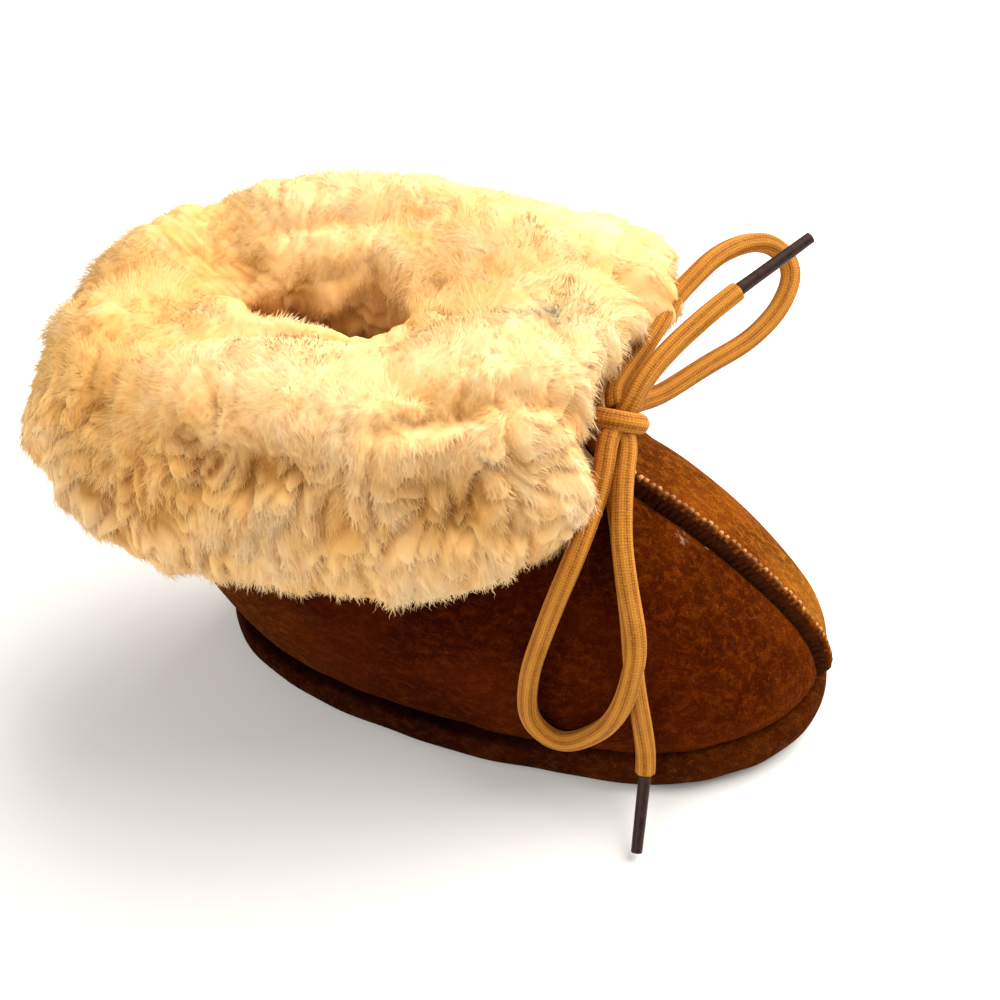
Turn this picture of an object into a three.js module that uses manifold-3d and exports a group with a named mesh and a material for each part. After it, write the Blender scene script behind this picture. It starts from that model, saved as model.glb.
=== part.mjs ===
// A toddler's sheepskin bootie: a suede upper of two panels joined by a raised centre seam,
// a suede band wrapped round a soft flat sole, and a deep fleece cuff turned down at the collar.
// Millimetres, +X to the toe, +Y to the wearer's left, +Z up.
// The origin is on the floor, under the middle of the sole.
import * as THREE from 'three';
import { mergeVertices } from 'three/addons/utils/BufferGeometryUtils.js';
import Module from 'manifold-3d';

const wasm = await Module();
wasm.setup();

// Driving dimensions
const SOLE_LENGTH = 150;
const SOLE_HALF = 36.6;
const TOE_SPRING = 4;
const SPRING_START_X = 32;
const RAND_TOP = 9.2;
const RAND_DEPTH = 5;
const WALL = 2.2;
const GAP = 0.3;
const LACE = 4.5;
const AGLET = 2.8;
const LACE_ROOM = 0.5;
const LACE_ROOM_SHARE = 0.25;
const CORD_SIDES = 8;
const SEAM_HEIGHT = 2.2;
const SPRING_FADE = 30;
const SOLE_TOP = RAND_TOP - 0.6;
const INSOLE_THICKNESS = 4;
const TOE_X = SOLE_LENGTH / 2;
const HEEL_X = -SOLE_LENGTH / 2;

// The sole's outline on the floor: a blunt oval, widest a little ahead of the middle.
const SOLE = { toe: TOE_X, heel: HEEL_X, half: SOLE_HALF, wide: 12, toeBlunt: 2.4, heelBlunt: 2.3 };

// Level sections of the upper's outside, from the sole edge to the collar.
const UPPER_ROWS = [
  { z: 9.6, toe: 73, heel: -73.4, half: 34.6, wide: 12, toeBlunt: 2.4, heelBlunt: 2.3, seam: 0 },
  { z: 13, toe: 74.2, heel: -75.2, half: 36, wide: 10, toeBlunt: 2.35, heelBlunt: 2.3, seam: 0.6 },
  { z: 19, toe: 73.6, heel: -78, half: 37, wide: 7, toeBlunt: 2.25, heelBlunt: 2.3, seam: 1 },
  { z: 26, toe: 71, heel: -80.6, half: 37.6, wide: 3, toeBlunt: 2.15, heelBlunt: 2.3, seam: 1 },
  { z: 34, toe: 66, heel: -82.8, half: 37.8, wide: -2, toeBlunt: 2.1, heelBlunt: 2.3, seam: 1 },
  { z: 42, toe: 59.2, heel: -84.6, half: 37.6, wide: -8, toeBlunt: 2.05, heelBlunt: 2.3, seam: 1 },
  { z: 50, toe: 50.8, heel: -85.8, half: 37, wide: -15, toeBlunt: 2, heelBlunt: 2.3, seam: 1 },
  { z: 57.5, toe: 41.6, heel: -86.4, half: 36.2, wide: -21, toeBlunt: 1.95, heelBlunt: 2.3, seam: 1 },
  { z: 64.5, toe: 31.6, heel: -86.6, half: 35.6, wide: -27, toeBlunt: 1.95, heelBlunt: 2.3, seam: 1 },
  { z: 71, toe: 23, heel: -86.6, half: 35.2, wide: -31, toeBlunt: 1.95, heelBlunt: 2.3, seam: 0.6 },
  { z: 80, toe: 16.6, heel: -86.6, half: 35, wide: -34, toeBlunt: 2, heelBlunt: 2.3, seam: 0 },
  { z: 94, toe: 13, heel: -86.6, half: 35, wide: -36, toeBlunt: 2, heelBlunt: 2.3, seam: 0 },
];
const COLLAR = UPPER_ROWS[UPPER_ROWS.length - 1];

// The seam's section across the front line: distance from the line and share of the seam's height.
const SEAM_SECTION = [
  { across: 0, rise: 1 },
  { across: 1.3, rise: 0.92 },
  { across: 2, rise: 0.25 },
  { across: 2.8, rise: -0.12 },
  { across: 5, rise: 0 },
];
const UPPER_COLUMNS = 38;
const SOLE_COLUMNS = 56;

// The rise of the sole towards the toe.
function springAt(x) {
  const run = Math.max(0, x - SPRING_START_X) / (TOE_X - SPRING_START_X);
  return TOE_SPRING * run * run;
}

// A point on a blunt oval: two superellipse halves that meet at their widest place.
function ovalPoint(row, angle) {
  const c = Math.cos(angle);
  const s = Math.sin(angle);
  const power = c >= 0 ? row.toeBlunt : row.heelBlunt;
  const reach = c >= 0 ? row.toe - row.wide : row.wide - row.heel;
  const x = row.wide + Math.sign(c) * reach * Math.abs(c) ** (2 / power);
  const y = row.half * Math.sign(s) * Math.abs(s) ** (2 / power);
  return { x, y };
}

// The same oval with its edge moved in or out all round.
function grown(row, by) {
  return { ...row, toe: row.toe + by, heel: row.heel - by, half: row.half + by };
}

function evenAngles(count) {
  return Array.from({ length: count }, (_, i) => (2 * Math.PI * i) / count);
}

// Triangles between rings of points; a closed loop of rings joins the last to the first.
function ringFaces(rings, closed) {
  const faces = [];
  const count = rings[0].length;
  const bands = closed ? rings.length : rings.length - 1;
  for (let i = 0; i < bands; i += 1) {
    const next = (i + 1) % rings.length;
    for (let j = 0; j < count; j += 1) {
      const k = (j + 1) % count;
      const a = i * count + j;
      const b = i * count + k;
      const c = next * count + k;
      const d = next * count + j;
      faces.push([a, b, c], [a, c, d]);
    }
  }
  return faces;
}

function geometryOf(points, faces) {
  const geometry = new THREE.BufferGeometry();
  geometry.setAttribute('position', new THREE.Float32BufferAttribute(points.flat(), 3));
  geometry.setIndex(faces.flat());
  return geometry;
}

// A wall bent into a ring: its section closes on itself.
function ringSolid(rings) {
  return geometryOf(rings.flat(), ringFaces(rings, true));
}

// A pad: rings from its underside to its top, each end closed to a middle point.
function padSolid(rings) {
  const points = rings.flat();
  const faces = ringFaces(rings, false);
  const count = rings[0].length;
  const ends = [{ start: 0, flip: true }, { start: points.length - count, flip: false }];
  for (const { start, flip } of ends) {
    const middle = points.length;
    const rim = points.slice(start, start + count);
    points.push([rim.reduce((sum, p) => sum + p[0], 0) / count, 0, rim[Math.floor(count / 2)][2]]);
    for (let j = 0; j < count; j += 1) {
      const a = start + j;
      const b = start + ((j + 1) % count);
      faces.push(flip ? [b, a, middle] : [a, b, middle]);
    }
  }
  return geometryOf(points, faces);
}

function manifoldOf(geometry) {
  const bare = geometry.clone();
  bare.deleteAttribute('normal');
  bare.deleteAttribute('uv');
  const merged = mergeVertices(bare, 1e-4);
  return new wasm.Manifold(new wasm.Mesh({
    numProp: 3,
    vertProperties: Float32Array.from(merged.attributes.position.array),
    triVerts: Uint32Array.from(merged.index.array),
  }));
}

function geometryFrom(solid) {
  const { vertProperties, triVerts } = solid.getMesh();
  const geometry = new THREE.BufferGeometry();
  geometry.setAttribute('position', new THREE.BufferAttribute(new Float32Array(vertProperties), 3));
  geometry.setIndex(new THREE.BufferAttribute(new Uint32Array(triVerts), 1));
  return geometry;
}

// A level ring of a sole layer; a sprung ring follows the rise to the toe.
function soleRing(row, z, sprung) {
  return evenAngles(SOLE_COLUMNS).map((angle) => {
    const { x, y } = ovalPoint(row, angle);
    return [x, y, z + (sprung ? springAt(x) : 0)];
  });
}

// Outsole: a flat tread, edges eased up, and the toe sprung.
const TREAD = { toe: 36, heel: -64, half: 26, wide: 2, toeBlunt: 2.3, heelBlunt: 2.5 };
const FOOTBED = { ...TREAD, toe: 34 };
const TREAD_EDGE = { inset: 1.2, low: 0.25, high: 1.4 };
function outsoleGeometry() {
  const edge = grown(SOLE, -RAND_DEPTH);
  return padSolid([
    soleRing(TREAD, 0, false),
    soleRing(grown(edge, -TREAD_EDGE.inset), TREAD_EDGE.low, true),
    soleRing(edge, TREAD_EDGE.high, true),
    soleRing(edge, SOLE_TOP, true),
    soleRing(FOOTBED, SOLE_TOP, false),
  ]);
}

// Rand: a soft round-edged band, seen all round the sole.
const RAND_SECTION = [
  { out: -RAND_DEPTH + GAP, z: 0.4 },
  { out: -0.8, z: 0.2 },
  { out: 0.5, z: 1.6 },
  { out: 1, z: 4.4 },
  { out: 0.4, z: 7.2 },
  { out: -1.2, z: 8.8 },
  { out: -RAND_DEPTH + GAP, z: RAND_TOP },
];
function randGeometry() {
  return ringSolid(RAND_SECTION.map(({ out, z }) => soleRing(grown(SOLE, out), z, true)));
}

// Angles of the upper's columns: the seam's own strip first, then the sides and heel.
function upperAngles(row) {
  const power = row.toeBlunt;
  const strip = SEAM_SECTION.map(({ across }) => Math.asin((across / row.half) ** (power / 2)));
  const edge = strip[strip.length - 1];
  const sides = Array.from({ length: UPPER_COLUMNS }, (_, i) => {
    return edge + ((i + 1) * (2 * Math.PI - 2 * edge)) / (UPPER_COLUMNS + 1);
  });
  const mirrored = strip.slice(1).reverse().map((angle) => 2 * Math.PI - angle);
  return [...strip, ...sides, ...mirrored];
}

// How far the seam stands proud at each column.
function seamRises() {
  const strip = SEAM_SECTION.map(({ rise }) => rise);
  const sides = new Array(UPPER_COLUMNS).fill(0);
  return [...strip, ...sides, ...strip.slice(1).reverse()];
}

// The way the front line leans at a row, as an outward direction in the middle plane.
function frontLean(index) {
  const below = UPPER_ROWS[Math.max(0, index - 1)];
  const above = UPPER_ROWS[Math.min(UPPER_ROWS.length - 1, index + 1)];
  const run = new THREE.Vector2(above.toe - below.toe, above.z - below.z).normalize();
  return { x: run.y, z: -run.x };
}

// One level ring of the upper, moved in by inset; only the outside carries the seam.
function upperRing(index, inset, lift) {
  const row = UPPER_ROWS[index];
  const lean = frontLean(index);
  const rises = seamRises();
  const low = Math.max(0, 1 - (row.z - UPPER_ROWS[0].z) / SPRING_FADE);
  return upperAngles(row).map((angle, column) => {
    const { x, y } = ovalPoint(grown(row, -inset), angle);
    const proud = inset > 0 ? 0 : rises[column] * SEAM_HEIGHT * row.seam;
    return [x + lean.x * proud, y, row.z + lift + low * springAt(x) + lean.z * proud];
  });
}

// The upper's wall; spare fattens it all over, for cutting a neighbour clear of it.
function upperGeometry(spare) {
  const rows = UPPER_ROWS.map((_, index) => index);
  const last = rows.length - 1;
  const lift = (index) => (index === last ? spare : 0);
  const outside = rows.map((index) => upperRing(index, -spare, lift(index)));
  const inside = rows.reverse().map((index) => upperRing(index, WALL + spare, lift(index)));
  return ringSolid([...outside, ...inside]);
}

// The throat: a narrow V cut down the front of the collar.
const THROAT = { foot: 71, top: COLLAR.z + 2, half: 6, front: 40, back: 2 };

function throatCut() {
  const wedge = new THREE.Shape([
    new THREE.Vector2(0, THROAT.foot),
    new THREE.Vector2(THROAT.half, THROAT.top),
    new THREE.Vector2(-THROAT.half, THROAT.top),
  ]);
  const depth = THROAT.front - THROAT.back;
  const geometry = new THREE.ExtrudeGeometry(wedge, { depth, bevelEnabled: false });
  geometry.applyMatrix4(new THREE.Matrix4().makeBasis(
    new THREE.Vector3(0, 1, 0),
    new THREE.Vector3(0, 0, 1),
    new THREE.Vector3(1, 0, 0),
  ));
  geometry.translate(THROAT.back, 0, 0);
  return geometry;
}

// The wall with its throat and lace holes.
function upperSolid() {
  const cuts = [throatCut(), laceRoom('lace_bar')];
  return cuts.reduce((wall, cut) => wall.subtract(manifoldOf(cut)), manifoldOf(upperGeometry(0)));
}

// Insole: a pad that fills the foot of the upper.
function insoleGeometry() {
  const edge = grown(UPPER_ROWS[0], -WALL - 2 * GAP);
  return padSolid([
    soleRing(FOOTBED, RAND_TOP - GAP, false),
    soleRing(edge, RAND_TOP + GAP, true),
    soleRing(edge, RAND_TOP + INSOLE_THICKNESS - GAP, true),
    soleRing(FOOTBED, RAND_TOP + INSOLE_THICKNESS, false),
  ]);
}

// Cuff: the section of the turned-down fleece round the collar wall.
// out is measured from the outside of the wall, z from the floor, and swell says
// how much of the extra thickness at the heel and the throat the place takes.
const CUFF_SECTION = [
  { out: 0, z: 72, swell: 0 },
  { out: 6, z: 67, swell: 0.5 },
  { out: 12, z: 67, swell: 0.9 },
  { out: 16, z: 73, swell: 1 },
  { out: 17, z: 82, swell: 1 },
  { out: 14.5, z: 93, swell: 0.8 },
  { out: 8.5, z: 102, swell: 0.4 },
  { out: 0, z: 106, swell: 0 },
  { out: -9, z: 104.5, swell: 0 },
  { out: -16, z: 98, swell: 0 },
  { out: -18, z: 88, swell: 0 },
  { out: -13, z: 78, swell: 0 },
  { out: -5, z: 75, swell: 0 },
];
const CUFF_COLUMNS = 34;
const CUFF_SPLIT = 0.3;
const CUFF_HEEL_SWELL = 0.24;
const CUFF_FRONT_SWELL = 0.34;
const CUFF_HEEL_DROP = 6;
const CUFF_INSIDE = -15;
const CUFF_FRONT_LIFT = 11;
const CUFF_ROLL_Z = COLLAR.z + 8;
const CUFF_HANG = 40;
const CUFF_END_SHARES = [0.62, 0.88];
const SMALL_TURN = 0.02;

// A point of the fleece: out from the collar wall at an angle round the ankle.
function cuffPoint({ out, z, swell }, angle, end) {
  const at = ovalPoint(COLLAR, angle);
  const ahead = ovalPoint(COLLAR, angle + SMALL_TURN);
  const way = new THREE.Vector2(ahead.y - at.y, at.x - ahead.x).normalize();
  const heelward = Math.max(0, -Math.cos(angle)) ** 1.5;
  const toeward = Math.max(0, Math.cos(angle)) ** 2;
  const fuller = 1 + swell * (CUFF_HEEL_SWELL * heelward + CUFF_FRONT_SWELL * toeward);
  const hang = Math.max(0, (CUFF_ROLL_Z - z) / CUFF_HANG);
  const lift = swell * toeward * CUFF_FRONT_LIFT * hang;
  const drop = out > CUFF_INSIDE ? heelward * CUFF_HEEL_DROP : 0;
  const reach = out * fuller * end;
  return [at.x + way.x * reach, at.y + way.y * reach, z + lift - drop];
}

// The plain body of the fleece, a ring that is split at the throat.
function cuffBody() {
  const sections = [];
  for (let j = 0; j <= CUFF_COLUMNS; j += 1) {
    const angle = CUFF_SPLIT + (j * (2 * Math.PI - 2 * CUFF_SPLIT)) / CUFF_COLUMNS;
    const end = CUFF_END_SHARES[Math.min(j, CUFF_COLUMNS - j)] ?? 1;
    sections.push(CUFF_SECTION.map((place) => cuffPoint(place, angle, end)));
  }
  const points = sections.flat();
  const last = points.length - CUFF_SECTION.length;
  const faces = ringFaces(sections, false).map(([a, b, c]) => [a, c, b]);
  const outline = CUFF_SECTION.map(({ out, z }) => new THREE.Vector2(out, z));
  for (const [a, b, c] of THREE.ShapeUtils.triangulateShape(outline, [])) {
    faces.push([a, b, c], [last + a, last + c, last + b]);
  }
  return geometryOf(points, faces);
}

// Rows of fleece locks, from the fringe over the top to the inside: place along the cuff's section,
// number round the ankle, length, half width, the way they lie, down the outside or into the shoe,
// and how far their tips lift.
const LOCK_ROWS = [
  { place: 2.4, count: 24, length: 10, half: 6.4, flow: -1, lift: 0.6 },
  { place: 3.3, count: 20, length: 15, half: 7.4, flow: -1, lift: 0.3 },
  { place: 4.3, count: 18, length: 16, half: 8, flow: -1, lift: 0.3 },
  { place: 5.3, count: 15, length: 16, half: 8.4, flow: -1, lift: 0.3 },
  { place: 6.3, count: 12, length: 15, half: 8.4, flow: -1, lift: 0.3 },
  { place: 7.9, count: 8, length: 13, half: 7.4, flow: 1, lift: 0.3 },
];
const LOCK_SIDES = 4;
const LOCK_FLATNESS = 0.5;
const LOCK_ROOT_DEPTH = 3;
const LOCK_ROOT = { share: -0.2, wide: 0.8 };
const LOCK_BELLY = { share: 0.45, wide: 0.75, lift: 0.4 };
const LOCK_WANDER = { most: 0.3, alongRow: 2.4, rowToRow: 1.7 };
const LOCK_STAGGER = [0.35, 0.65];
const LOCK_START = CUFF_SPLIT + 0.28;
const SMALL_PLACE = 0.2;

function sectionPlace(place) {
  const low = CUFF_SECTION[Math.floor(place)];
  const high = CUFF_SECTION[Math.floor(place) + 1];
  const share = place - Math.floor(place);
  const between = (key) => low[key] + (high[key] - low[key]) * share;
  return { out: between('out'), z: between('z'), swell: between('swell') };
}

// One lock: a flat tapering tuft, sunk in the fleece at its root and lifting to its tip.
function lockGeometry(root, flow, normal, { length, half, lift }) {
  const across = flow.clone().cross(normal).normalize();
  const middle = (share, up) => {
    return root.clone().addScaledVector(flow, length * share).addScaledVector(normal, up);
  };
  const ring = (centre, wide) => Array.from({ length: LOCK_SIDES }, (_, i) => {
    const turn = (2 * Math.PI * i) / LOCK_SIDES;
    return centre.clone().addScaledVector(across, wide * Math.cos(turn))
      .addScaledVector(normal, wide * LOCK_FLATNESS * Math.sin(turn)).toArray();
  });
  const tip = middle(1, length * lift).toArray();
  const points = [
    ...ring(middle(LOCK_ROOT.share, -LOCK_ROOT_DEPTH), half * LOCK_ROOT.wide),
    ...ring(middle(LOCK_BELLY.share, length * lift * LOCK_BELLY.lift), half * LOCK_BELLY.wide),
    tip,
  ];
  const top = 2 * LOCK_SIDES;
  const faces = ringFaces([points.slice(0, LOCK_SIDES), points.slice(LOCK_SIDES, top)], false);
  for (let i = 0; i < LOCK_SIDES; i += 1) {
    faces.push([LOCK_SIDES + i, LOCK_SIDES + ((i + 1) % LOCK_SIDES), top]);
  }
  for (let i = 1; i < LOCK_SIDES - 1; i += 1) {
    faces.push([0, i + 1, i]);
  }
  const flip = across.clone().cross(normal).dot(flow) < 0;
  return geometryOf(points, flip ? faces.map(([a, b, c]) => [a, c, b]) : faces);
}

// All the locks, each row staggered against the last, their tips wandering a little to each side.
function cuffLocks() {
  const vector = (place, angle) => new THREE.Vector3(...cuffPoint(sectionPlace(place), angle, 1));
  const span = 2 * Math.PI - 2 * LOCK_START;
  const locks = [];
  LOCK_ROWS.forEach((row, index) => {
    for (let i = 0; i < row.count; i += 1) {
      const angle = LOCK_START + (span * (i + LOCK_STAGGER[index % 2])) / row.count;
      const root = vector(row.place, angle);
      const round = vector(row.place, angle + SMALL_TURN).sub(root).normalize();
      const below = vector(row.place - SMALL_PLACE, angle);
      const rise = vector(row.place + SMALL_PLACE, angle).sub(below).normalize();
      const normal = round.clone().cross(rise).normalize();
      const wave = Math.sin(LOCK_WANDER.alongRow * i + LOCK_WANDER.rowToRow * index);
      const flow = rise.multiplyScalar(row.flow).addScaledVector(round, LOCK_WANDER.most * wave).normalize();
      locks.push(lockGeometry(root, flow, normal, row));
    }
  });
  return locks;
}

// Lace: a round cord along a route, each stretch of the bow a piece of its own.
function cordGeometry(route, diameter, steps) {
  const section = new THREE.Shape(Array.from({ length: CORD_SIDES }, (_, i) => {
    const turn = (2 * Math.PI * i) / CORD_SIDES;
    return new THREE.Vector2(Math.cos(turn), Math.sin(turn)).multiplyScalar(diameter / 2);
  }));
  const points = route.map((point) => new THREE.Vector3(...point));
  const path = new THREE.CatmullRomCurve3(points, false, 'centripetal');
  return new THREE.ExtrudeGeometry(section, { steps, extrudePath: path, bevelEnabled: false });
}

const LACE_ROUTES = {
  lace_bar: [
    [9.5, -11.6, 80], [14.5, -10, 80], [18.2, -7, 80.3], [19.4, -3, 80.6],
    [19.4, 3, 80.6], [18.2, 7, 80.3], [14.5, 10, 80], [9.5, 11.6, 80],
  ],
  lace_loop_near: [
    [25.2, -8, 83.8], [25.3, -11.4, 80.4], [25.1, -15.5, 76.2], [23, -27, 68.4], [18.9, -34.8, 55.6],
    [14.9, -39.4, 38.8], [15.2, -40.2, 25], [21.5, -39.4, 18], [30.1, -38.8, 24.4], [35, -39.7, 35.6],
    [36.6, -38.2, 42.8], [37.2, -34.6, 50], [33.6, -27.6, 61.8], [31.2, -21.9, 68.6], [29.2, -10.9, 78],
    [29, -6.6, 80.8],
  ],
  lace_end_near: [
    [24, -5.2, 79.2], [25, -7.6, 74.4], [27.5, -11.2, 69], [31.2, -20.6, 60.8], [34.4, -28, 50.7],
    [36.6, -33.5, 38.5], [38.9, -36.2, 27], [40.2, -37.4, 18.4], [40.5, -38.5, 14.8], [40.6, -39.6, 13.4],
  ],
  lace_loop_far: [
    [27.8, 2.6, 83.6], [31.5, 9, 80.8], [40.1, 22, 80.4], [48.1, 33, 80.8], [53.1, 42, 84.3],
    [54, 48, 89.4], [49.6, 50, 93.6], [44.8, 47, 96], [38.5, 40, 96.5], [34.8, 33, 95.4],
    [31.6, 26, 93.9], [28.6, 15, 90.9], [25.3, 6, 87.9], [24, 1.2, 86.9],
  ],
  lace_end_far: [
    [28.5, -1.2, 87.2], [29.6, 2.6, 89.2], [32.7, 9, 91.8], [39.6, 21, 94.6], [44.6, 28, 96.4],
  ],
};
const LACE_STEPS = {
  lace_bar: 9, lace_loop_near: 24, lace_end_near: 12, lace_loop_far: 20, lace_end_far: 5,
};
const AGLET_STEPS = 2;
const AGLET_ROUTES = {
  aglet_near: [[40.65, -39.95, 13.05], [41.7, -53, 1.7]],
  aglet_far: [[44.85, 28.4, 96.5], [57.7, 42, 102.4]],
};

// The room that a stretch of lace takes in its neighbours, a little longer than the lace itself.
function laceRoom(name) {
  const route = LACE_ROUTES[name];
  const last = route.length - 1;
  const beyond = (end, before) => end.map((value, i) => value + (value - before[i]) * LACE_ROOM_SHARE);
  const longer = [beyond(route[0], route[1]), ...route, beyond(route[last], route[last - 1])];
  return cordGeometry(longer, LACE + 2 * LACE_ROOM, LACE_STEPS[name] + 2);
}

// Knot: a flattened barrel, the wrap of cord round the strands; its axis lies across the foot.
const KNOT = {
  middle: [26.4, -3, 83.5],
  axis: [0.11, 0.81, 0.59],
  front: [0.64, -0.515, 0.571],
  half: 2.7,
  wide: 6.2,
  deep: 4.9,
  sides: 12,
};
// The barrel's side: share of its radius and share of its half length.
const KNOT_SECTION = [
  { radius: 0, along: -1 },
  { radius: 0.82, along: -1 },
  { radius: 1, along: -0.4 },
  { radius: 1, along: 0.4 },
  { radius: 0.82, along: 1 },
  { radius: 0, along: 1 },
];
function knotGeometry(spare) {
  const section = KNOT_SECTION.map(({ radius, along }) => new THREE.Vector2(radius, along));
  const geometry = new THREE.LatheGeometry(section, KNOT.sides);
  geometry.scale(KNOT.wide + spare, KNOT.half + spare, KNOT.deep + spare);
  const axis = new THREE.Vector3(...KNOT.axis).normalize();
  const side = axis.clone().cross(new THREE.Vector3(...KNOT.front)).normalize();
  geometry.applyMatrix4(new THREE.Matrix4().makeBasis(side, axis, side.clone().cross(axis)));
  geometry.translate(...KNOT.middle);
  return geometry;
}

// The fleece with its locks, cut clear of the collar wall and of the lace.
function cuffSolid() {
  const body = cuffLocks().reduce((sum, lock) => sum.add(manifoldOf(lock)), manifoldOf(cuffBody()));
  const cutters = [
    upperGeometry(GAP),
    ...Object.keys(LACE_ROUTES).map(laceRoom),
    knotGeometry(LACE_ROOM),
  ];
  return cutters.reduce((sum, cutter) => sum.subtract(manifoldOf(cutter)), body);
}

const FINISH = {
  suede: { color: 0x8a4713, roughness: 0.92, metalness: 0 },
  rand: { color: 0x7a3d10, roughness: 0.92, metalness: 0 },
  sole: { color: 0x5a3416, roughness: 0.9, metalness: 0 },
  fleece: { color: 0xf2d49a, roughness: 1, metalness: 0 },
  lace: { color: 0xc8873c, roughness: 0.8, metalness: 0 },
  aglet: { color: 0x2b1710, roughness: 0.4, metalness: 0 },
};

const bootie = new THREE.Group();

function addPiece(name, geometry, finish) {
  const piece = new THREE.Mesh(geometry, new THREE.MeshStandardMaterial(FINISH[finish]));
  piece.name = name;
  bootie.add(piece);
}

addPiece('outsole', outsoleGeometry(), 'sole');
addPiece('rand', randGeometry(), 'rand');
addPiece('insole', insoleGeometry(), 'fleece');
addPiece('upper', geometryFrom(upperSolid()), 'suede');
addPiece('cuff', geometryFrom(cuffSolid()), 'fleece');
addPiece('lace_knot', knotGeometry(0), 'lace');
for (const [name, route] of Object.entries(LACE_ROUTES)) {
  addPiece(name, cordGeometry(route, LACE, LACE_STEPS[name]), 'lace');
}
for (const [name, route] of Object.entries(AGLET_ROUTES)) {
  addPiece(name, cordGeometry(route, AGLET, AGLET_STEPS), 'aglet');
}

export default bootie;
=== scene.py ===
# %% [markdown]
# # A sheepskin bootie
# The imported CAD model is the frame: it gives every piece its place, in metres, with the toe to +X
# and the sole on the floor. Here each soft piece is built again, finer than the solids, in the
# same place, and gets the finish that the real one shows.

# %% Load the frame
import math

import bpy
import numpy as np
from mathutils import Matrix, Vector


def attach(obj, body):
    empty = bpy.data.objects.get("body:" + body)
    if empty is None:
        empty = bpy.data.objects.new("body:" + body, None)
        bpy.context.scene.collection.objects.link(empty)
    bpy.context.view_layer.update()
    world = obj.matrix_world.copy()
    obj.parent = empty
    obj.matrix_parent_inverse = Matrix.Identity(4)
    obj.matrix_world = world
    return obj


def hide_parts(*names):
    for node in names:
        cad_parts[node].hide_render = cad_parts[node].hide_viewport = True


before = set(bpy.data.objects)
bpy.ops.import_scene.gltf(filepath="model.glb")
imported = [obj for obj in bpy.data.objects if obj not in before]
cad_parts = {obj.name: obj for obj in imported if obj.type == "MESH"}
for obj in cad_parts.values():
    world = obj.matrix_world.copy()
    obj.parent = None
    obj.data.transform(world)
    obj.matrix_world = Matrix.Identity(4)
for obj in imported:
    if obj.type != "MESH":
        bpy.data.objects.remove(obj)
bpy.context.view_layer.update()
MM = 0.001
print("frame nodes:", ", ".join(sorted(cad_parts)))

# %% [markdown]
# ## Camera
# The bootie is seen from above its near side, with the toe to the right. A camera could be aimed
# by eye, but here its angles come from fitting the sole's outline and the seam line, so they are
# kept as numbers: the turn round the object, the height, a small roll, and the point aimed at.

# %% Camera
CAMERA = {"azimuth": 19.28, "elevation": 47.77, "roll": -4.93, "distance": 327.06, "lens": 49.0}
CAMERA_ABOUT = Vector((0, 0, 30)) * MM
CAMERA_AIM = Vector((-2.31, 0, 50.75)) * MM


def make_camera():
    turn, height, roll = (math.radians(CAMERA[key]) for key in ("azimuth", "elevation", "roll"))
    level_away = math.cos(height)
    away = Vector((math.sin(turn) * level_away, -math.cos(turn) * level_away, math.sin(height)))
    place = CAMERA_ABOUT + away * CAMERA["distance"] * MM
    back = (place - CAMERA_AIM).normalized()
    level = Vector((0, 0, 1)).cross(back).normalized()
    upright = back.cross(level)
    right = level * math.cos(roll) + upright * math.sin(roll)
    up = upright * math.cos(roll) - level * math.sin(roll)
    camera = bpy.data.objects.new("camera", bpy.data.cameras.new("camera"))
    camera.data.lens = CAMERA["lens"]
    camera.data.clip_start = 0.01
    camera.matrix_world = Matrix.Translation(place) @ Matrix((right, up, back)).transposed().to_4x4()
    bpy.context.scene.collection.objects.link(camera)
    bpy.context.scene.camera = camera
    return camera


print("camera at", [round(v, 3) for v in make_camera().location])

# %% [markdown]
# ## Curves through a few points
# A shoe is drawn from short tables: a lace's route, the sections of the upper, the roll of the
# cuff. One helper draws a smooth curve through any of them, a Catmull-Rom curve, which passes
# through each row of the table instead of only near it.

# %% Smooth curves and small helpers
FULL_TURN = 2 * math.pi
WAVES, WAVE_SUM = 10, 4.5


def smooth_through(knots, values, at):
    knots, values, at = (np.asarray(each, float) for each in (knots, values, at))
    step = np.diff(knots)[:, None]
    slope = np.diff(values, axis=0) / step
    tangent = np.empty_like(values)
    tangent[0], tangent[-1] = slope[0], slope[-1]
    tangent[1:-1] = slope[:-1] - (values[2:] - values[:-2]) / (step[:-1] + step[1:]) + slope[1:]
    i = np.clip(np.searchsorted(knots, at, "right") - 1, 0, len(step) - 1)
    t = (at - knots[i])[:, None] / step[i]
    start, end = values[i], values[i + 1]
    leave, arrive = tangent[i] * step[i], tangent[i + 1] * step[i]
    bent = (2 * t**3 - 3 * t**2 + 1) * start + (3 * t**2 - 2 * t**3) * end
    return bent + (t**3 - 2 * t**2 + t) * leave + (t**3 - t**2) * arrive


def unit(vectors):
    return vectors / np.maximum(np.linalg.norm(vectors, axis=-1, keepdims=True), 1e-9)


def lumps(points, size, seed):
    """Soft unevenness from -1 to 1, with swells about `size` millimetres across."""
    rng = np.random.default_rng(seed)
    waves = unit(rng.normal(size=(WAVES, 3))) * rng.uniform(0.7, 1.4, (WAVES, 1)) * math.pi / size
    return np.sin(points @ waves.T + rng.uniform(0, FULL_TURN, WAVES)).sum(-1) / WAVE_SUM


def climb(values, start, length):
    """A share that goes from 0 at `start` to 1 a way of `length` on, or back where that is negative."""
    return np.clip((values - start) / length, 0, 1)


def hump(values, middle, reach):
    return np.exp(-(((values - middle) / reach) ** 2))


def ring_angles(count):
    return np.linspace(0, FULL_TURN, count, endpoint=False)


def steps_of(line):
    """The way from each point of a line to the next."""
    return np.linalg.norm(np.diff(line, axis=0), axis=1)


def run_along(steps):
    return np.concatenate([[0], np.cumsum(steps)])


wavy = lumps(np.random.default_rng(1).uniform(0, 100, (2000, 3)), 10, 2)
print("unevenness runs from", wavy.min().round(2), "to", wavy.max().round(2))

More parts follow.
